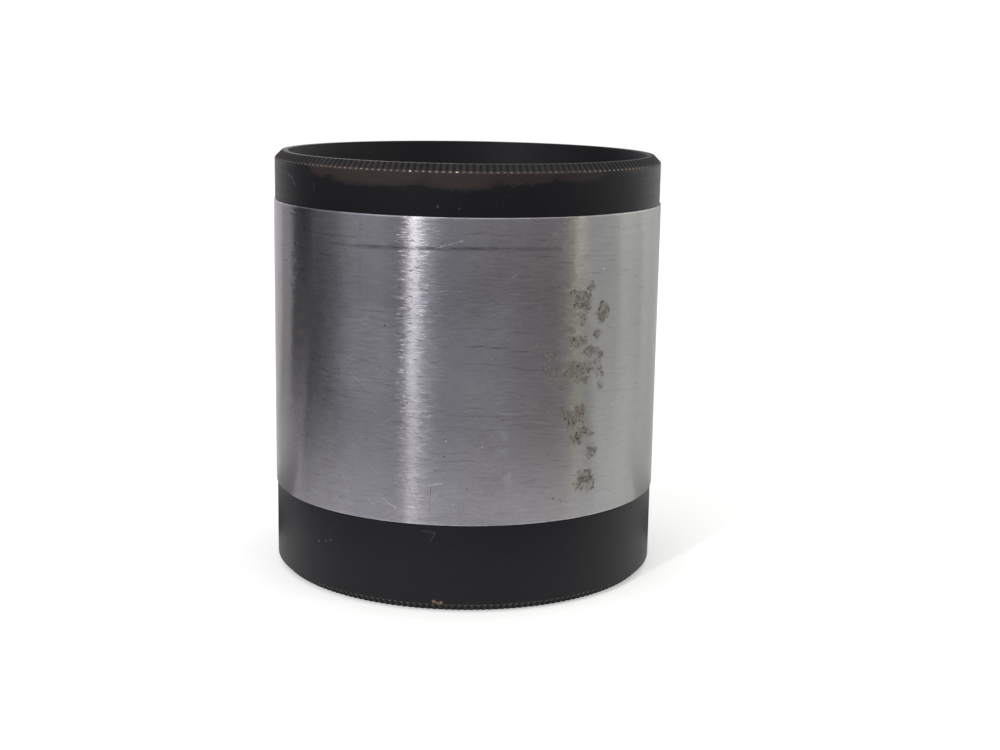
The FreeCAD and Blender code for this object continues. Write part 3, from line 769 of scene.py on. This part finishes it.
# %% Lacquered brass: haze and chips
lacquer, black, shader = new_material("black lacquered brass")
where = add(black, "ShaderNodeGroup", node_tree=unrolling).outputs
flat, solid = where["Flat"], where["Solid"]
fine_lines, ragged, torn, tips = (
    add(black, "ShaderNodeGroup", [solid, per_mm, detail, roughness], node_tree=graining)
    for per_mm, detail, roughness in (
        ((0.05, 0.05, 5.0), 3.0, 0.5), ((0.22, 0.22, 0.9), 4.0, 0.6), ((1.0, 1.0, 2.6), 4.0, 0.7),
        ((0.5, 0.5, 0.5), 2.0, 0.6)))
WORN = ((-26.0, 65.6, 14.5, 2.6, 1.0), (-2.0, 65.5, 9.0, 2.8, 1.0), (14.0, 65.7, 9.0, 2.3, 0.72),
        (32.0, 65.9, 8.0, 1.9, 0.56), (-44.0, 66.0, 5.0, 2.3, 0.8), (58.0, 66.1, 8.0, 1.2, 0.5),
        (130.0, 65.9, 14.0, 1.9, 0.8), (-140.0, 66.0, 12.0, 1.8, 0.7), (-72.0, 66.6, 9.0, 2.0, 0.6))
handled = marked(black, flat, dots=WORN)
coarse_edge = add(black, "ShaderNodeMapRange", [ragged, 0.0, 1.0, -0.6, 0.6])
fine_edge = add(black, "ShaderNodeMapRange", [torn, 0.0, 1.0, -0.7, 0.7])
moved = add(black, ("ADD", handled, ("ADD", coarse_edge, fine_edge)))
inside_edge = add(black, "ShaderNodeMapRange", [moved, 0.26, 0.46, 0.0, 1.0],
                  interpolation_type="SMOOTHSTEP")
fading = add(black, "ShaderNodeMapRange", [handled, 0.3, 1.0, 0.4, 1.0])
worn = add(black, ("MULTIPLY", inside_edge, fading))
CHIPS = ((-8.1, 1.6, 0.46, 0.4, 1.0), (-7.1, 1.35, 0.4, 0.36, 1.0), (-6.1, 1.5, 0.4, 0.42, 1.0))
chips = marked(black, flat, dots=CHIPS)
frayed = add(black, "ShaderNodeMapRange", [torn, 0.35, 0.65, 0.4, 1.4])
chipped = add(black, "ShaderNodeMapRange", [("MULTIPLY", chips, frayed), 0.25, 0.7, 0.0, 1.0])
HANDLED_RADIUS = 29.7
outside = add(black, ("GREATER_THAN", where["Radius"], HANDLED_RADIUS))
tell(black, "Lacquer, haze and chips")

# %% Lacquered brass: tips of the flutes, and painted shade in their grooves
crest = add(black, "ShaderNodeAttribute", attribute_name="crest").outputs["Fac"]
# The tip is the foot of a crest, where the bevel meets the wall: at the same distance from the
# middle of the lens on both cells.
TIP = RIM / 2 - BEVEL
from_middle = add(black, ("ABSOLUTE", ("SUBTRACT", where["Height"], RIM / 2)))
from_tip = add(black, ("ABSOLUTE", ("SUBTRACT", from_middle, TIP - 0.02)))
near_foot = add(black, "ShaderNodeMapRange", [from_tip, 0.05, 0.17, 1.0, 0.0])
tip = add(black, "ShaderNodeMapRange", [("MULTIPLY", crest, near_foot), 0.62, 0.95, 0.0, 1.0])
RUBBED_TIPS = ((-15.6, 66.2, 1.2, 1.0, 1.0), (-3.2, 66.2, 0.6, 1.0, 1.2), (-30.0, 66.2, 9.0, 1.0, 0.36),
               (-8.0, 66.2, 5.0, 1.0, 0.45), (45.0, 66.2, 12.0, 1.0, 0.36), (-5.0, 1.1, 26.0, 1.0, 0.2),
               (150.0, 66.2, 20.0, 1.0, 0.6), (-120.0, 66.2, 20.0, 1.0, 0.5))
rubbed = marked(black, flat, dots=RUBBED_TIPS)
here_and_there = add(black, "ShaderNodeMapRange", [tips, 0.35, 0.65, 0.05, 0.36])
rubbed = add(black, ("MAXIMUM", rubbed, here_and_there))
brass_tip = add(black, ("MULTIPLY", tip, rubbed))
# Down the grooves of the grip the lacquer is painted darker, most at their bottoms: painted shade in the
# hollows.
beyond = add(black, "ShaderNodeMapRange", [from_middle, TIP + 0.05, TIP + 0.25, 0.0, 1.0])
shaded = add(black, "ShaderNodeMapRange", [crest, 0.0, 1.0, 1.0, 0.35])
painted_groove_shade = add(black, ("MULTIPLY", beyond, shaded))
tell(black, "Lacquer, flutes")

# %% Lacquered brass: dust, colour and gloss
HAIR = ((-62.6, 64.3, -59.7, 63.8, 0.09, 0.5), (-59.7, 63.8, -57.6, 62.7, 0.09, 0.5),
        (-11.6, 12.6, -7.9, 12.4, 0.1, 0.16), (-7.9, 12.4, -9.3, 10.95, 0.1, 0.16),
        (-48.0, 63.6, -47.8, 62.4, 0.08, 0.18), (141.0, 6.0, 147.0, 8.2, 0.09, 0.3))
DUST = ((-46.4, 8.1, 0.22, 0.22, 0.38), (-43.3, 8.45, 0.2, 0.2, 0.36), (-41.2, 8.85, 0.2, 0.2, 0.3),
        (-8.0, 61.2, 0.3, 0.3, 0.18), (-2.2, 61.0, 0.2, 0.2, 0.14))
dust = strongest(black, [marked(black, flat, HAIR, DUST), specks(black, solid, 0.75, 0.03, 0.06, 0.18)])
hazy = add(black, ("MULTIPLY", worn, outside))
painted_grip_shade = add(black, ("MULTIPLY", painted_groove_shade, outside))
# The near-black in the grooves of the grip is painted shade.
colour = paint_over(black, linear("#17161b"), (
    (hazy, "#342c2b"), (painted_grip_shade, "#08080a"), (chipped, "#77654f"), (dust, "#8c8a86"),
    (brass_tip, "#beb29c")))
gloss = add(black, "ShaderNodeMapRange", [fine_lines, 0.3, 0.7, 0.45, 0.51])
gloss = add(black, "ShaderNodeMix", [strongest(black, [dust, painted_grip_shade]), gloss, 0.7], data_type="FLOAT")
bump = add(black, "ShaderNodeBump", {"Strength": 0.3, "Distance": 0.009 * MM, "Height": fine_lines})
hand_out(black, shader.inputs, {"Base Color": colour, "Metallic": brass_tip, "Roughness": gloss,
                                "Normal": bump})
PAINT_INDEX = 1.5
shader.inputs["IOR"].default_value = PAINT_INDEX
shader.inputs["Specular IOR Level"].default_value = 0.2
tell(black, "Lacquer")

# %% [markdown]
# ## Matt black finishes
# Inside a lens, every piece that light could glance off is matt black. Retaining rings are brass with
# matt lacquer, bright only where a key has slipped. Glass mounts and the stop are anodised
# aluminium: the dye sits in a porous skin that is soft to the eye, with faint turning lines.


# %% Matt lacquer and black anodising
def matt_black(name, body_hex, worn_hex, low, high):
    """A matt black turned finish with fine lines, paler where it has been touched."""
    material, tree, shader = new_material(name)
    where = add(tree, "ShaderNodeGroup", node_tree=unrolling).outputs
    grooves = add(tree, "ShaderNodeTexNoise",
                  {"Vector": add(tree, "ShaderNodeCombineXYZ", [where["Radius"], where["Height"], 0.0]),
                   "Scale": 6.0, "Detail": 2.0})
    touch = add(tree, "ShaderNodeTexNoise", {"Vector": where["Solid"], "Scale": 0.35, "Detail": 5.0,
                                             "Roughness": 0.7})
    rubbed = add(tree, "ShaderNodeMapRange", [touch, 0.58, 0.74, 0.0, 0.6])
    colour = paint_over(tree, linear(body_hex), [(rubbed, worn_hex)])
    gloss = add(tree, "ShaderNodeMapRange", [grooves, 0.3, 0.7, low, high])
    bump = add(tree, "ShaderNodeBump", {"Strength": 0.3, "Distance": 0.02 * MM, "Height": grooves})
    hand_out(tree, shader.inputs, {"Base Color": colour, "Roughness": gloss, "Normal": bump})
    shader.inputs["IOR"].default_value = PAINT_INDEX
    return material


matt_lacquer = matt_black("matt lacquered brass", "#18181a", "#2c2621", 0.48, 0.58)
anodised = matt_black("black anodised aluminium", "#151517", "#222226", 0.55, 0.66)
print("matt finishes:", matt_lacquer.name, "and", anodised.name)

# %% [markdown]
# ## Optical glass
# The elements are ground and polished, so their roughness is nil. Crown and flint differ in how
# strongly they bend light. The outer faces carry a coating about a tenth of a micron thick, which is
# why they reflect blue and purple: the thin film setting works that colour out. The ground rims
# are painted black, and cemented faces touch through balsam, so light passes there unbent.


# %% Coated crown, flint, cement and rim paint
CROWN_INDEX, FLINT_INDEX, COATING_INDEX = 1.62, 1.65, 1.38
UNBENT = 1.0


def optical(name, index, film):
    """Polished glass of a refractive index, with a coating of film nanometres, or none."""
    material, tree, shader = new_material(name)
    where = add(tree, "ShaderNodeGroup", node_tree=unrolling).outputs
    hand_out(tree, shader.inputs, {"Roughness": specks(tree, where["Solid"], 0.45, 0.02, 0.05, 0.5)})
    shader.inputs["Base Color"].default_value = linear("#f6f8f6")
    shader.inputs["Transmission Weight"].default_value = 1.0
    shader.inputs["IOR"].default_value = index
    shader.inputs["Thin Film Thickness"].default_value = film
    shader.inputs["Thin Film IOR"].default_value = COATING_INDEX
    return material


coated = optical("coated crown glass", CROWN_INDEX, 115.0)
flint = optical("flint glass", FLINT_INDEX, 105.0)
cement = optical("balsam cement", UNBENT, 0.0)
rim_paint = matt_black("rim paint", "#101011", "#1a1a1b", 0.6, 0.7)
print("refractive indices: crown", CROWN_INDEX, "flint", FLINT_INDEX, "coating", COATING_INDEX)

# %% [markdown]
# ## The barrel
# The tube takes a cell in each end. Its outside is one plain cylinder with a broken edge at each end;
# inside are two threaded counterbores, a rib that carries the stop, and the black bore between.

# %% Barrel
CELL_COLUMNS = 990
BARREL_COLUMNS = 396
SMALL_COLUMNS = 198
MALE = {"Crest Radius": 29.17 * MM, "Root Radius": 28.5 * MM, "Pitch": THREAD_PITCH * MM}
FEMALE = {"Crest Radius": 29.25 * MM, "Root Radius": 29.95 * MM, "Pitch": THREAD_PITCH * MM}


def thread(kind, bottom, top):
    """A thread between two heights in millimetres."""
    return threading, {**kind, "Bottom": bottom * MM, "Top": top * MM}


barrel_section = [
    (31.25, 13.6, 0.2), (31.25, 59.7, 0.22), (29.3, 59.7, 0.1), (29.3, 59.2), (29.86, 58.7),
    (29.86, 51.8), (29.25, 51.3), (28.25, 51.3, 0.1), (28.25, 30.6), (27.2, 30.6, 0.1),
    (27.2, 28.6, 0.1), (28.25, 28.6), (28.25, 22.0, 0.1), (29.25, 22.0), (29.86, 21.5), (29.86, 14.6),
    (29.3, 14.1), (29.3, 13.6, 0.1)]
seat(turn("barrel_tube", barrel_section, BARREL_COLUMNS, aluminium,
          [thread(FEMALE, 51.6, 59.2), thread(FEMALE, 14.1, 21.7)]),
     "barrel", "bare_aluminium", "barrel")

# %% [markdown]
# ## The two cells
# Each cell is a deep cup with a fluted bevel, a threaded spigot and steps that hold the glass.

# %% Cells
FLUTES = {"Flutes": 198, "Depth": 0.22 * MM, "Share": 0.8, "Outer Radius": RING_RADIUS * MM,
          "Bevel": BEVEL * MM, "Start": 0.4}
front_section = [
    (31.05, 59.7, 0.12), (31.05, 65.75), (31.05, 66.2, 0.16), (29.95, 67.3, 0.12), (29.5, 67.3),
    (28.9, 67.3, 0.1), (28.9, 62.9, 0.1), (28.0, 62.9, 0.1), (27.0, 60.3), (27.0, 55.48),
    (25.03, 55.48, 0.1), (25.03, 52.47), (22.0, 52.47, 0.1), (22.0, 49.57), (24.0, 49.57),
    (24.0, 44.0, 0.1), (27.62, 44.0, 0.2), (27.62, 51.7), (28.62, 51.7, 0.15), (28.62, 59.7)]
seat(turn("front_cell_body", front_section, CELL_COLUMNS, lacquer,
          [(fluting, {**FLUTES, "Foot Height": (RIM - BEVEL) * MM, "Direction": 1.0}),
           thread(MALE, 51.7, 59.1)]),
     "front_cell", "black_lacquered_brass", "front_cell")
rear_section = [
    (31.05, 13.6, 0.12), (31.05, 1.55), (31.05, 1.1, 0.16), (29.95, 0.0, 0.12), (29.5, 0.0),
    (28.9, 0.0, 0.1), (28.9, 3.4, 0.1), (22.0, 3.4, 0.1), (22.0, 6.64), (20.03, 6.64, 0.1),
    (20.03, 8.7), (18.8, 8.7, 0.1), (18.8, 11.6), (22.0, 11.6), (22.0, 24.0, 0.1),
    (27.62, 24.0, 0.2), (27.62, 21.6), (28.62, 21.6, 0.15), (28.62, 13.6)]
seat(turn("rear_cell_body", rear_section, CELL_COLUMNS, lacquer,
          [(fluting, {**FLUTES, "Foot Height": BEVEL * MM, "Direction": -1.0}),
           thread(MALE, 14.2, 21.6)]),
     "rear_cell", "black_lacquered_brass", "rear_cell")

# %% [markdown]
# ## Rings, mounts and the stop
# Four threaded rings hold the glass. Two mounts carry the cemented pairs on the inner ends of the
# cells, and a thin plate with a round hole stops the light in the middle of the barrel.


# %% Rings, mounts and stop
def slots(length, face, width=2.0, depth=1.0):
    """Two key slots in a face at a height in millimetres."""
    return sawing, {"Length": length * MM, "Width": width * MM, "Depth": depth * MM, "Face": face * MM}


SMALL_PIECES = (
    ("front_ring", "front_retaining_ring", "front_cell", "black_brass", matt_lacquer,
     [(23.9, 55.5, 0.1), (26.95, 55.5, 0.1), (26.95, 58.3, 0.1), (24.7, 58.3, 0.1),
      (23.9, 57.5, 0.1)], [slots(56.0, 58.3)]),
    ("front_pair_mount", "front_doublet_mount", "front_cell", "black_anodised", anodised,
     [(14.5, 34.8, 0.3), (23.95, 34.8, 0.3), (23.95, 49.57, 0.1), (21.0, 49.57, 0.1), (21.0, 47.4),
      (20.03, 47.4, 0.1), (20.03, 36.6), (14.5, 36.6, 0.1)], []),
    ("front_pair_ring", "front_doublet_ring", "front_cell", "black_anodised", anodised,
     [(19.2, 47.42, 0.1), (20.95, 47.42, 0.1), (20.95, 49.37, 0.1), (19.2, 49.37, 0.1)],
     [slots(44.0, 49.37)]),
    ("rear_ring", "rear_retaining_ring", "rear_cell", "black_brass", matt_lacquer,
     [(19.7, 4.42, 0.1), (21.95, 4.42, 0.1), (21.95, 6.62, 0.1), (18.9, 6.62, 0.1), (18.9, 5.22, 0.1)],
     [slots(46.0, 4.42)]),
    ("rear_pair_mount", "rear_doublet_mount", "rear_cell", "black_anodised", anodised,
     [(19.0, 11.6, 0.1), (21.95, 11.6, 0.1), (21.95, 27.49, 0.3), (13.5, 27.49, 0.3),
      (13.5, 25.69, 0.1), (18.03, 25.69), (18.03, 16.1, 0.1), (19.0, 16.1)], []),
    ("rear_pair_ring", "rear_doublet_ring", "rear_cell", "black_anodised", anodised,
     [(17.2, 14.13, 0.1), (18.95, 14.13, 0.1), (18.95, 16.08, 0.1), (17.2, 16.08, 0.1)],
     [slots(40.0, 14.13)]),
    ("stop_plate", "aperture_stop", "barrel", "black_anodised", anodised,
     [(11.6, 30.62), (11.6, 30.9, 0.05), (12.4, 31.38, 0.1), (28.18, 31.38, 0.05), (28.18, 30.62, 0.05)],
     []),
    ("stop_ring_body", "stop_ring", "barrel", "black_anodised", anodised,
     [(26.0, 31.42, 0.1), (28.18, 31.42, 0.1), (28.18, 33.2, 0.1), (26.0, 33.2, 0.1)],
     [slots(60.0, 33.2)]))
for name, node, body, slot, finish, section, cuts in SMALL_PIECES:
    seat(turn(name, section, SMALL_COLUMNS, finish, cuts), body, slot, node)


# %% [markdown]
# ## Lens elements
# A ground lens has spherical faces, so its section is made of arcs. Each arc is worked out from its
# radius of curvature: the sag is how far the face has fallen from its middle at a given radius.

# %% Elements
def face(middle, bend, out_to, way, start=0.0, steps=28):
    """Points on a spherical face: way is 1 where it falls away upwards, -1 where downwards."""
    out = []
    for k in range(steps + 1):
        r = start + (out_to - start) * k / steps
        out.append((r, middle + way * (bend - math.sqrt(bend * bend - r * r))))
    return out


GAP = 0.01
UPRIGHT, AT_RIM = 0.1, 0.98
ELEMENTS = (
    ("front_lens", "front_element", "front_glass", "coated_glass", coated, None,
     face(55.2, 115.7, 24.98, -1) + face(62.8, 42.7, 24.98, -1)[::-1]),
    ("front_pair_crown", "front_doublet_crown", "front_glass", "coated_glass", coated, 45.39,
     [(0, 45.39 + GAP), (19.98, 45.39 + GAP)] + face(54.8, 28.6, 19.98, -1)[::-1]),
    ("front_pair_flint", "front_doublet_flint", "front_glass", "flint_glass", flint, 45.39,
     face(42.49, 18.4, 13.5, -1) + [(14.2, 36.62), (19.98, 36.62), (19.98, 45.39 - GAP),
                                    (0, 45.39 - GAP)]),
    ("rear_lens", "rear_element", "rear_glass", "coated_glass", coated, None,
     face(3.6, 60.35, 19.98, 1) + face(10.0, 134.8, 19.98, -1)[::-1]),
    ("rear_pair_crown", "rear_doublet_crown", "rear_glass", "coated_glass", coated, 18.8,
     face(10.4, 28.8, 17.98, 1) + [(17.98, 18.80 - GAP), (0, 18.80 - GAP)]),
    ("rear_pair_flint", "rear_doublet_flint", "rear_glass", "flint_glass", flint, 18.8,
     [(0, 18.80 + GAP), (17.98, 18.80 + GAP), (17.98, 25.67), (13.2, 25.67)]
     + face(21.7, 21.57, 12.5, 1)[::-1]))
for name, node, body, slot, finish, joint_height, section in ELEMENTS:
    lens = seat(turn(name, section, SMALL_COLUMNS, finish, closed=False), body, slot, node)
    lens.data.materials.append(rim_paint)
    lens.data.materials.append(cement)
    rim = max(corner[0] for corner in section)
    for polygon in lens.data.polygons:
        middle = polygon.center / MM
        if abs(polygon.normal.z) < UPRIGHT and middle.xy.length > AT_RIM * rim:
            polygon.material_index = 1
        elif joint_height and abs(middle.z - joint_height) < 2 * GAP:
            polygon.material_index = 2

# %% [markdown]
# ## Floor and background
# The lens stands on a plain pale floor under a pale sky. To the camera, and in metal and glass, both
# are white, which the Light Path node tells apart from the light that they give. The floor still
# takes the soft shadow of the lens.

# %% Floor
def seen_directly(tree):
    """1 for rays that look at a thing: from the camera, from gloss, and through glass."""
    light_path = add(tree, "ShaderNodeLightPath").outputs
    either = add(tree, ("MAXIMUM", light_path["Is Camera Ray"], light_path["Is Glossy Ray"]))
    return add(tree, ("MAXIMUM", either, light_path["Is Transmission Ray"]))


FLOOR_LIFT = 0.35
floor_material, tree, shader = new_material("pale floor")
shader.inputs["Base Color"].default_value = linear("#f2f2f2")
shader.inputs["Roughness"].default_value = 0.9
shader.inputs["Specular IOR Level"].default_value = 0.0
shader.inputs["Emission Color"].default_value = (1.0, 1.0, 1.0, 1.0)
hand_out(tree, shader.inputs, {"Emission Strength": ("MULTIPLY", seen_directly(tree), FLOOR_LIFT)})
floor_mesh = bpy.data.meshes.new("floor")
FLOOR_HALF = 0.8
floor_mesh.from_pydata([(x * FLOOR_HALF, y * FLOOR_HALF, 0.0)
                        for x, y in ((-1, -1), (1, -1), (1, 1), (-1, 1))], [], [(0, 1, 2, 3)])
floor_mesh.materials.append(floor_material)
floor = bpy.data.objects.new("floor", floor_mesh)
bpy.context.scene.collection.objects.link(floor)
print("the floor lights up by", FLOOR_LIFT, "where it is seen directly")

# %% Sky
SKY_LIGHT = 0.55
world = bpy.data.worlds.new("pale sky")
world.use_nodes = True
bpy.context.scene.world = world
tree = world.node_tree
background = tree.nodes["Background"]
background.inputs["Color"].default_value = (1.0, 1.0, 1.0, 1.0)
hand_out(tree, background.inputs, {"Strength": add(
    tree, "ShaderNodeMapRange", [seen_directly(tree), 0.0, 1.0, SKY_LIGHT, 1.0])})
print("the sky lights the lens at", SKY_LIGHT, "of the brightness that it is seen at")

# %% [markdown]
# ## Lamps and cards
# Metal shows its surroundings, so lighting it is a matter of what stands round it. Two narrow tall
# soft boxes give the two upright stripes. A wider one beside the first gives its soft glow, another
# fills the left of the face, broad ones light both flanks, and one hangs overhead. Black cards in
# front keep the face of the barrel quiet, and grey and pale ones set the tone of its edges. Two
# black cards at the foot are a painted shadow: they stand for the floor's shadow round the lens.
# The cards are seen by gloss alone.

# %% Soft boxes
LENS_MIDDLE = Vector((0.0, 0.0, 0.035))


def bearing(degrees, distance, height):
    """A place round the lens: degrees to the right of its front, and metres."""
    angle = math.radians(degrees)
    return Vector((distance * math.sin(angle), -distance * math.cos(angle), height))


def soft_box(name, degrees, distance, height, width, tall, watts, tint="#ffffff"):
    """A rectangular lamp that faces the lens."""
    lamp = bpy.data.lights.new(name, "AREA")
    lamp.shape = "RECTANGLE"
    lamp.size, lamp.size_y = width, tall
    lamp.energy = watts
    lamp.color = linear(tint)[:3]
    box = bpy.data.objects.new(name, lamp)
    box.location = bearing(degrees, distance, height)
    box.rotation_euler = (LENS_MIDDLE - box.location).to_track_quat("-Z", "Y").to_euler()
    bpy.context.scene.collection.objects.link(box)


LAMPS = (
    ("key strip", -31.3, 0.9, 0.55, 0.045, 0.8, 2.4, "#ffffff"),
    ("key glow", -27.0, 0.9, 0.55, 0.34, 0.8, 0.75, "#ffffff"),
    ("soft fill", -63.0, 0.9, 0.45, 0.55, 0.8, 1.2, "#ffffff"),
    ("second strip", 69.0, 0.9, 0.45, 0.04, 0.8, 0.75, "#f6f5cc"),
    ("right flank", 125.0, 1.0, 0.4, 1.1, 0.9, 1.8, "#fffdee"),
    ("left flank", -156.0, 1.0, 0.4, 0.95, 0.9, 1.0, "#ffeffb"),
    ("overhead", 0.0, 0.05, 1.3, 1.2, 1.2, 3.0, "#ffffff"))
for lamp_row in LAMPS:
    soft_box(*lamp_row)
print(len(LAMPS), "soft boxes")

# %% Paint for the cards
def card_paint(name, hex_colour):
    """Dull paint for a card."""
    material, _, shader = new_material(name)
    shader.inputs["Base Color"].default_value = linear(hex_colour)
    shader.inputs["Roughness"].default_value = 1.0
    return material


black_card, dark_card, grey_card, pale_card = (
    card_paint(name, colour) for name, colour in (
        ("black card", "#101010"), ("dark card", "#5c5c5c"), ("grey card", "#b2b2b2"),
        ("pale card", "#dedede")))
print("four card paints, from", black_card.name, "to", pale_card.name)


# %% Cards that lie or stand
def card(name, corners, paint):
    """A flat card that only gloss sees."""
    mesh = bpy.data.meshes.new(name)
    mesh.from_pydata([tuple(corner) for corner in corners], [], [range(len(corners))])
    mesh.materials.append(paint)
    panel = bpy.data.objects.new(name, mesh)
    bpy.context.scene.collection.objects.link(panel)
    panel.visible_camera = False
    panel.visible_diffuse = False
    panel.visible_shadow = False
    panel.visible_transmission = False


CARD_LIFT = 0.001
SWEEP_STEPS = 12


def lying(name, first, last, near, far, paint=black_card):
    """A card that lies on the floor, over a sweep of degrees and between two distances."""
    sweep = [first + (last - first) * k / SWEEP_STEPS for k in range(SWEEP_STEPS + 1)]
    card(name, [bearing(degrees, near, CARD_LIFT) for degrees in sweep]
         + [bearing(degrees, far, CARD_LIFT) for degrees in reversed(sweep)], paint)


def standing(name, first, last, distance, top, paint=black_card):
    """A card that stands on the floor, between two bearings."""
    card(name, [bearing(degrees, distance, height) for degrees, height in (
        (first, CARD_LIFT), (last, CARD_LIFT), (last, top), (first, top))], paint)


# %% Cards round the lens
lying("front card", -97.0, 70.0, 0.082, 0.9)
lying("right card", 98.0, 122.0, 0.24, 0.9)
lying("second right card", 70.0, 98.0, 0.17, 0.9)
lying("left floor card", -120.0, -97.0, 0.115, 0.9)
standing("left card", -120.0, -97.0, 0.5, 0.5, dark_card)
lying("left edge floor card", -137.0, -120.0, 0.115, 0.9, pale_card)
standing("left edge card", -137.0, -120.0, 0.5, 0.5, pale_card)
standing("low card", -97.0, 0.0, 0.92, 0.22)
standing("low card right", 0.0, 70.0, 0.92, 0.22)
lying("grey floor card", 160.0, 180.0, 0.045, 0.62, grey_card)
standing("grey back card", 160.0, 180.0, 0.62, 0.5, grey_card)
# The two foot cards are a painted shadow: black sheets for the floor's shadow round the foot.
lying("foot shadow card right", 98.0, 142.0, 0.034, 0.058)
lying("foot shadow card left", -132.0, -97.0, 0.034, 0.062)
print(sum("card" in thing.name for thing in bpy.data.objects), "cards")

# %% [markdown]
# ## Camera
# The camera stands a little above the lens and close to it, which is why the rings curve as they do.
# Its place and aim were worked out from the outline of the lens.

# %% Camera
CAMERA_BACK, CAMERA_UP = 0.2655648, 0.0835814
YAW, PITCH, ROLL = 0.0215, 0.1973, 0.0168
LENS_LENGTH = 58.7
ahead = Vector((math.sin(YAW) * math.cos(PITCH), math.cos(YAW) * math.cos(PITCH), -math.sin(PITCH)))
level_right = Vector((math.cos(YAW), -math.sin(YAW), 0.0))
level_up = level_right.cross(ahead)
right = math.cos(ROLL) * level_right + math.sin(ROLL) * level_up
up = right.cross(ahead)
camera_data = bpy.data.cameras.new("camera")
camera_data.lens = LENS_LENGTH
camera_data.clip_start = 0.01
camera = bpy.data.objects.new("camera", camera_data)
bpy.context.scene.collection.objects.link(camera)
axes = Matrix((right, up, -ahead)).transposed().to_4x4()
camera.matrix_world = Matrix.Translation((0.0, -CAMERA_BACK, CAMERA_UP)) @ axes
bpy.context.scene.camera = camera
bpy.context.scene.view_settings.view_transform = "Standard"
print(f"camera {CAMERA_BACK:.3f} m in front of the axis and {CAMERA_UP:.3f} m up")
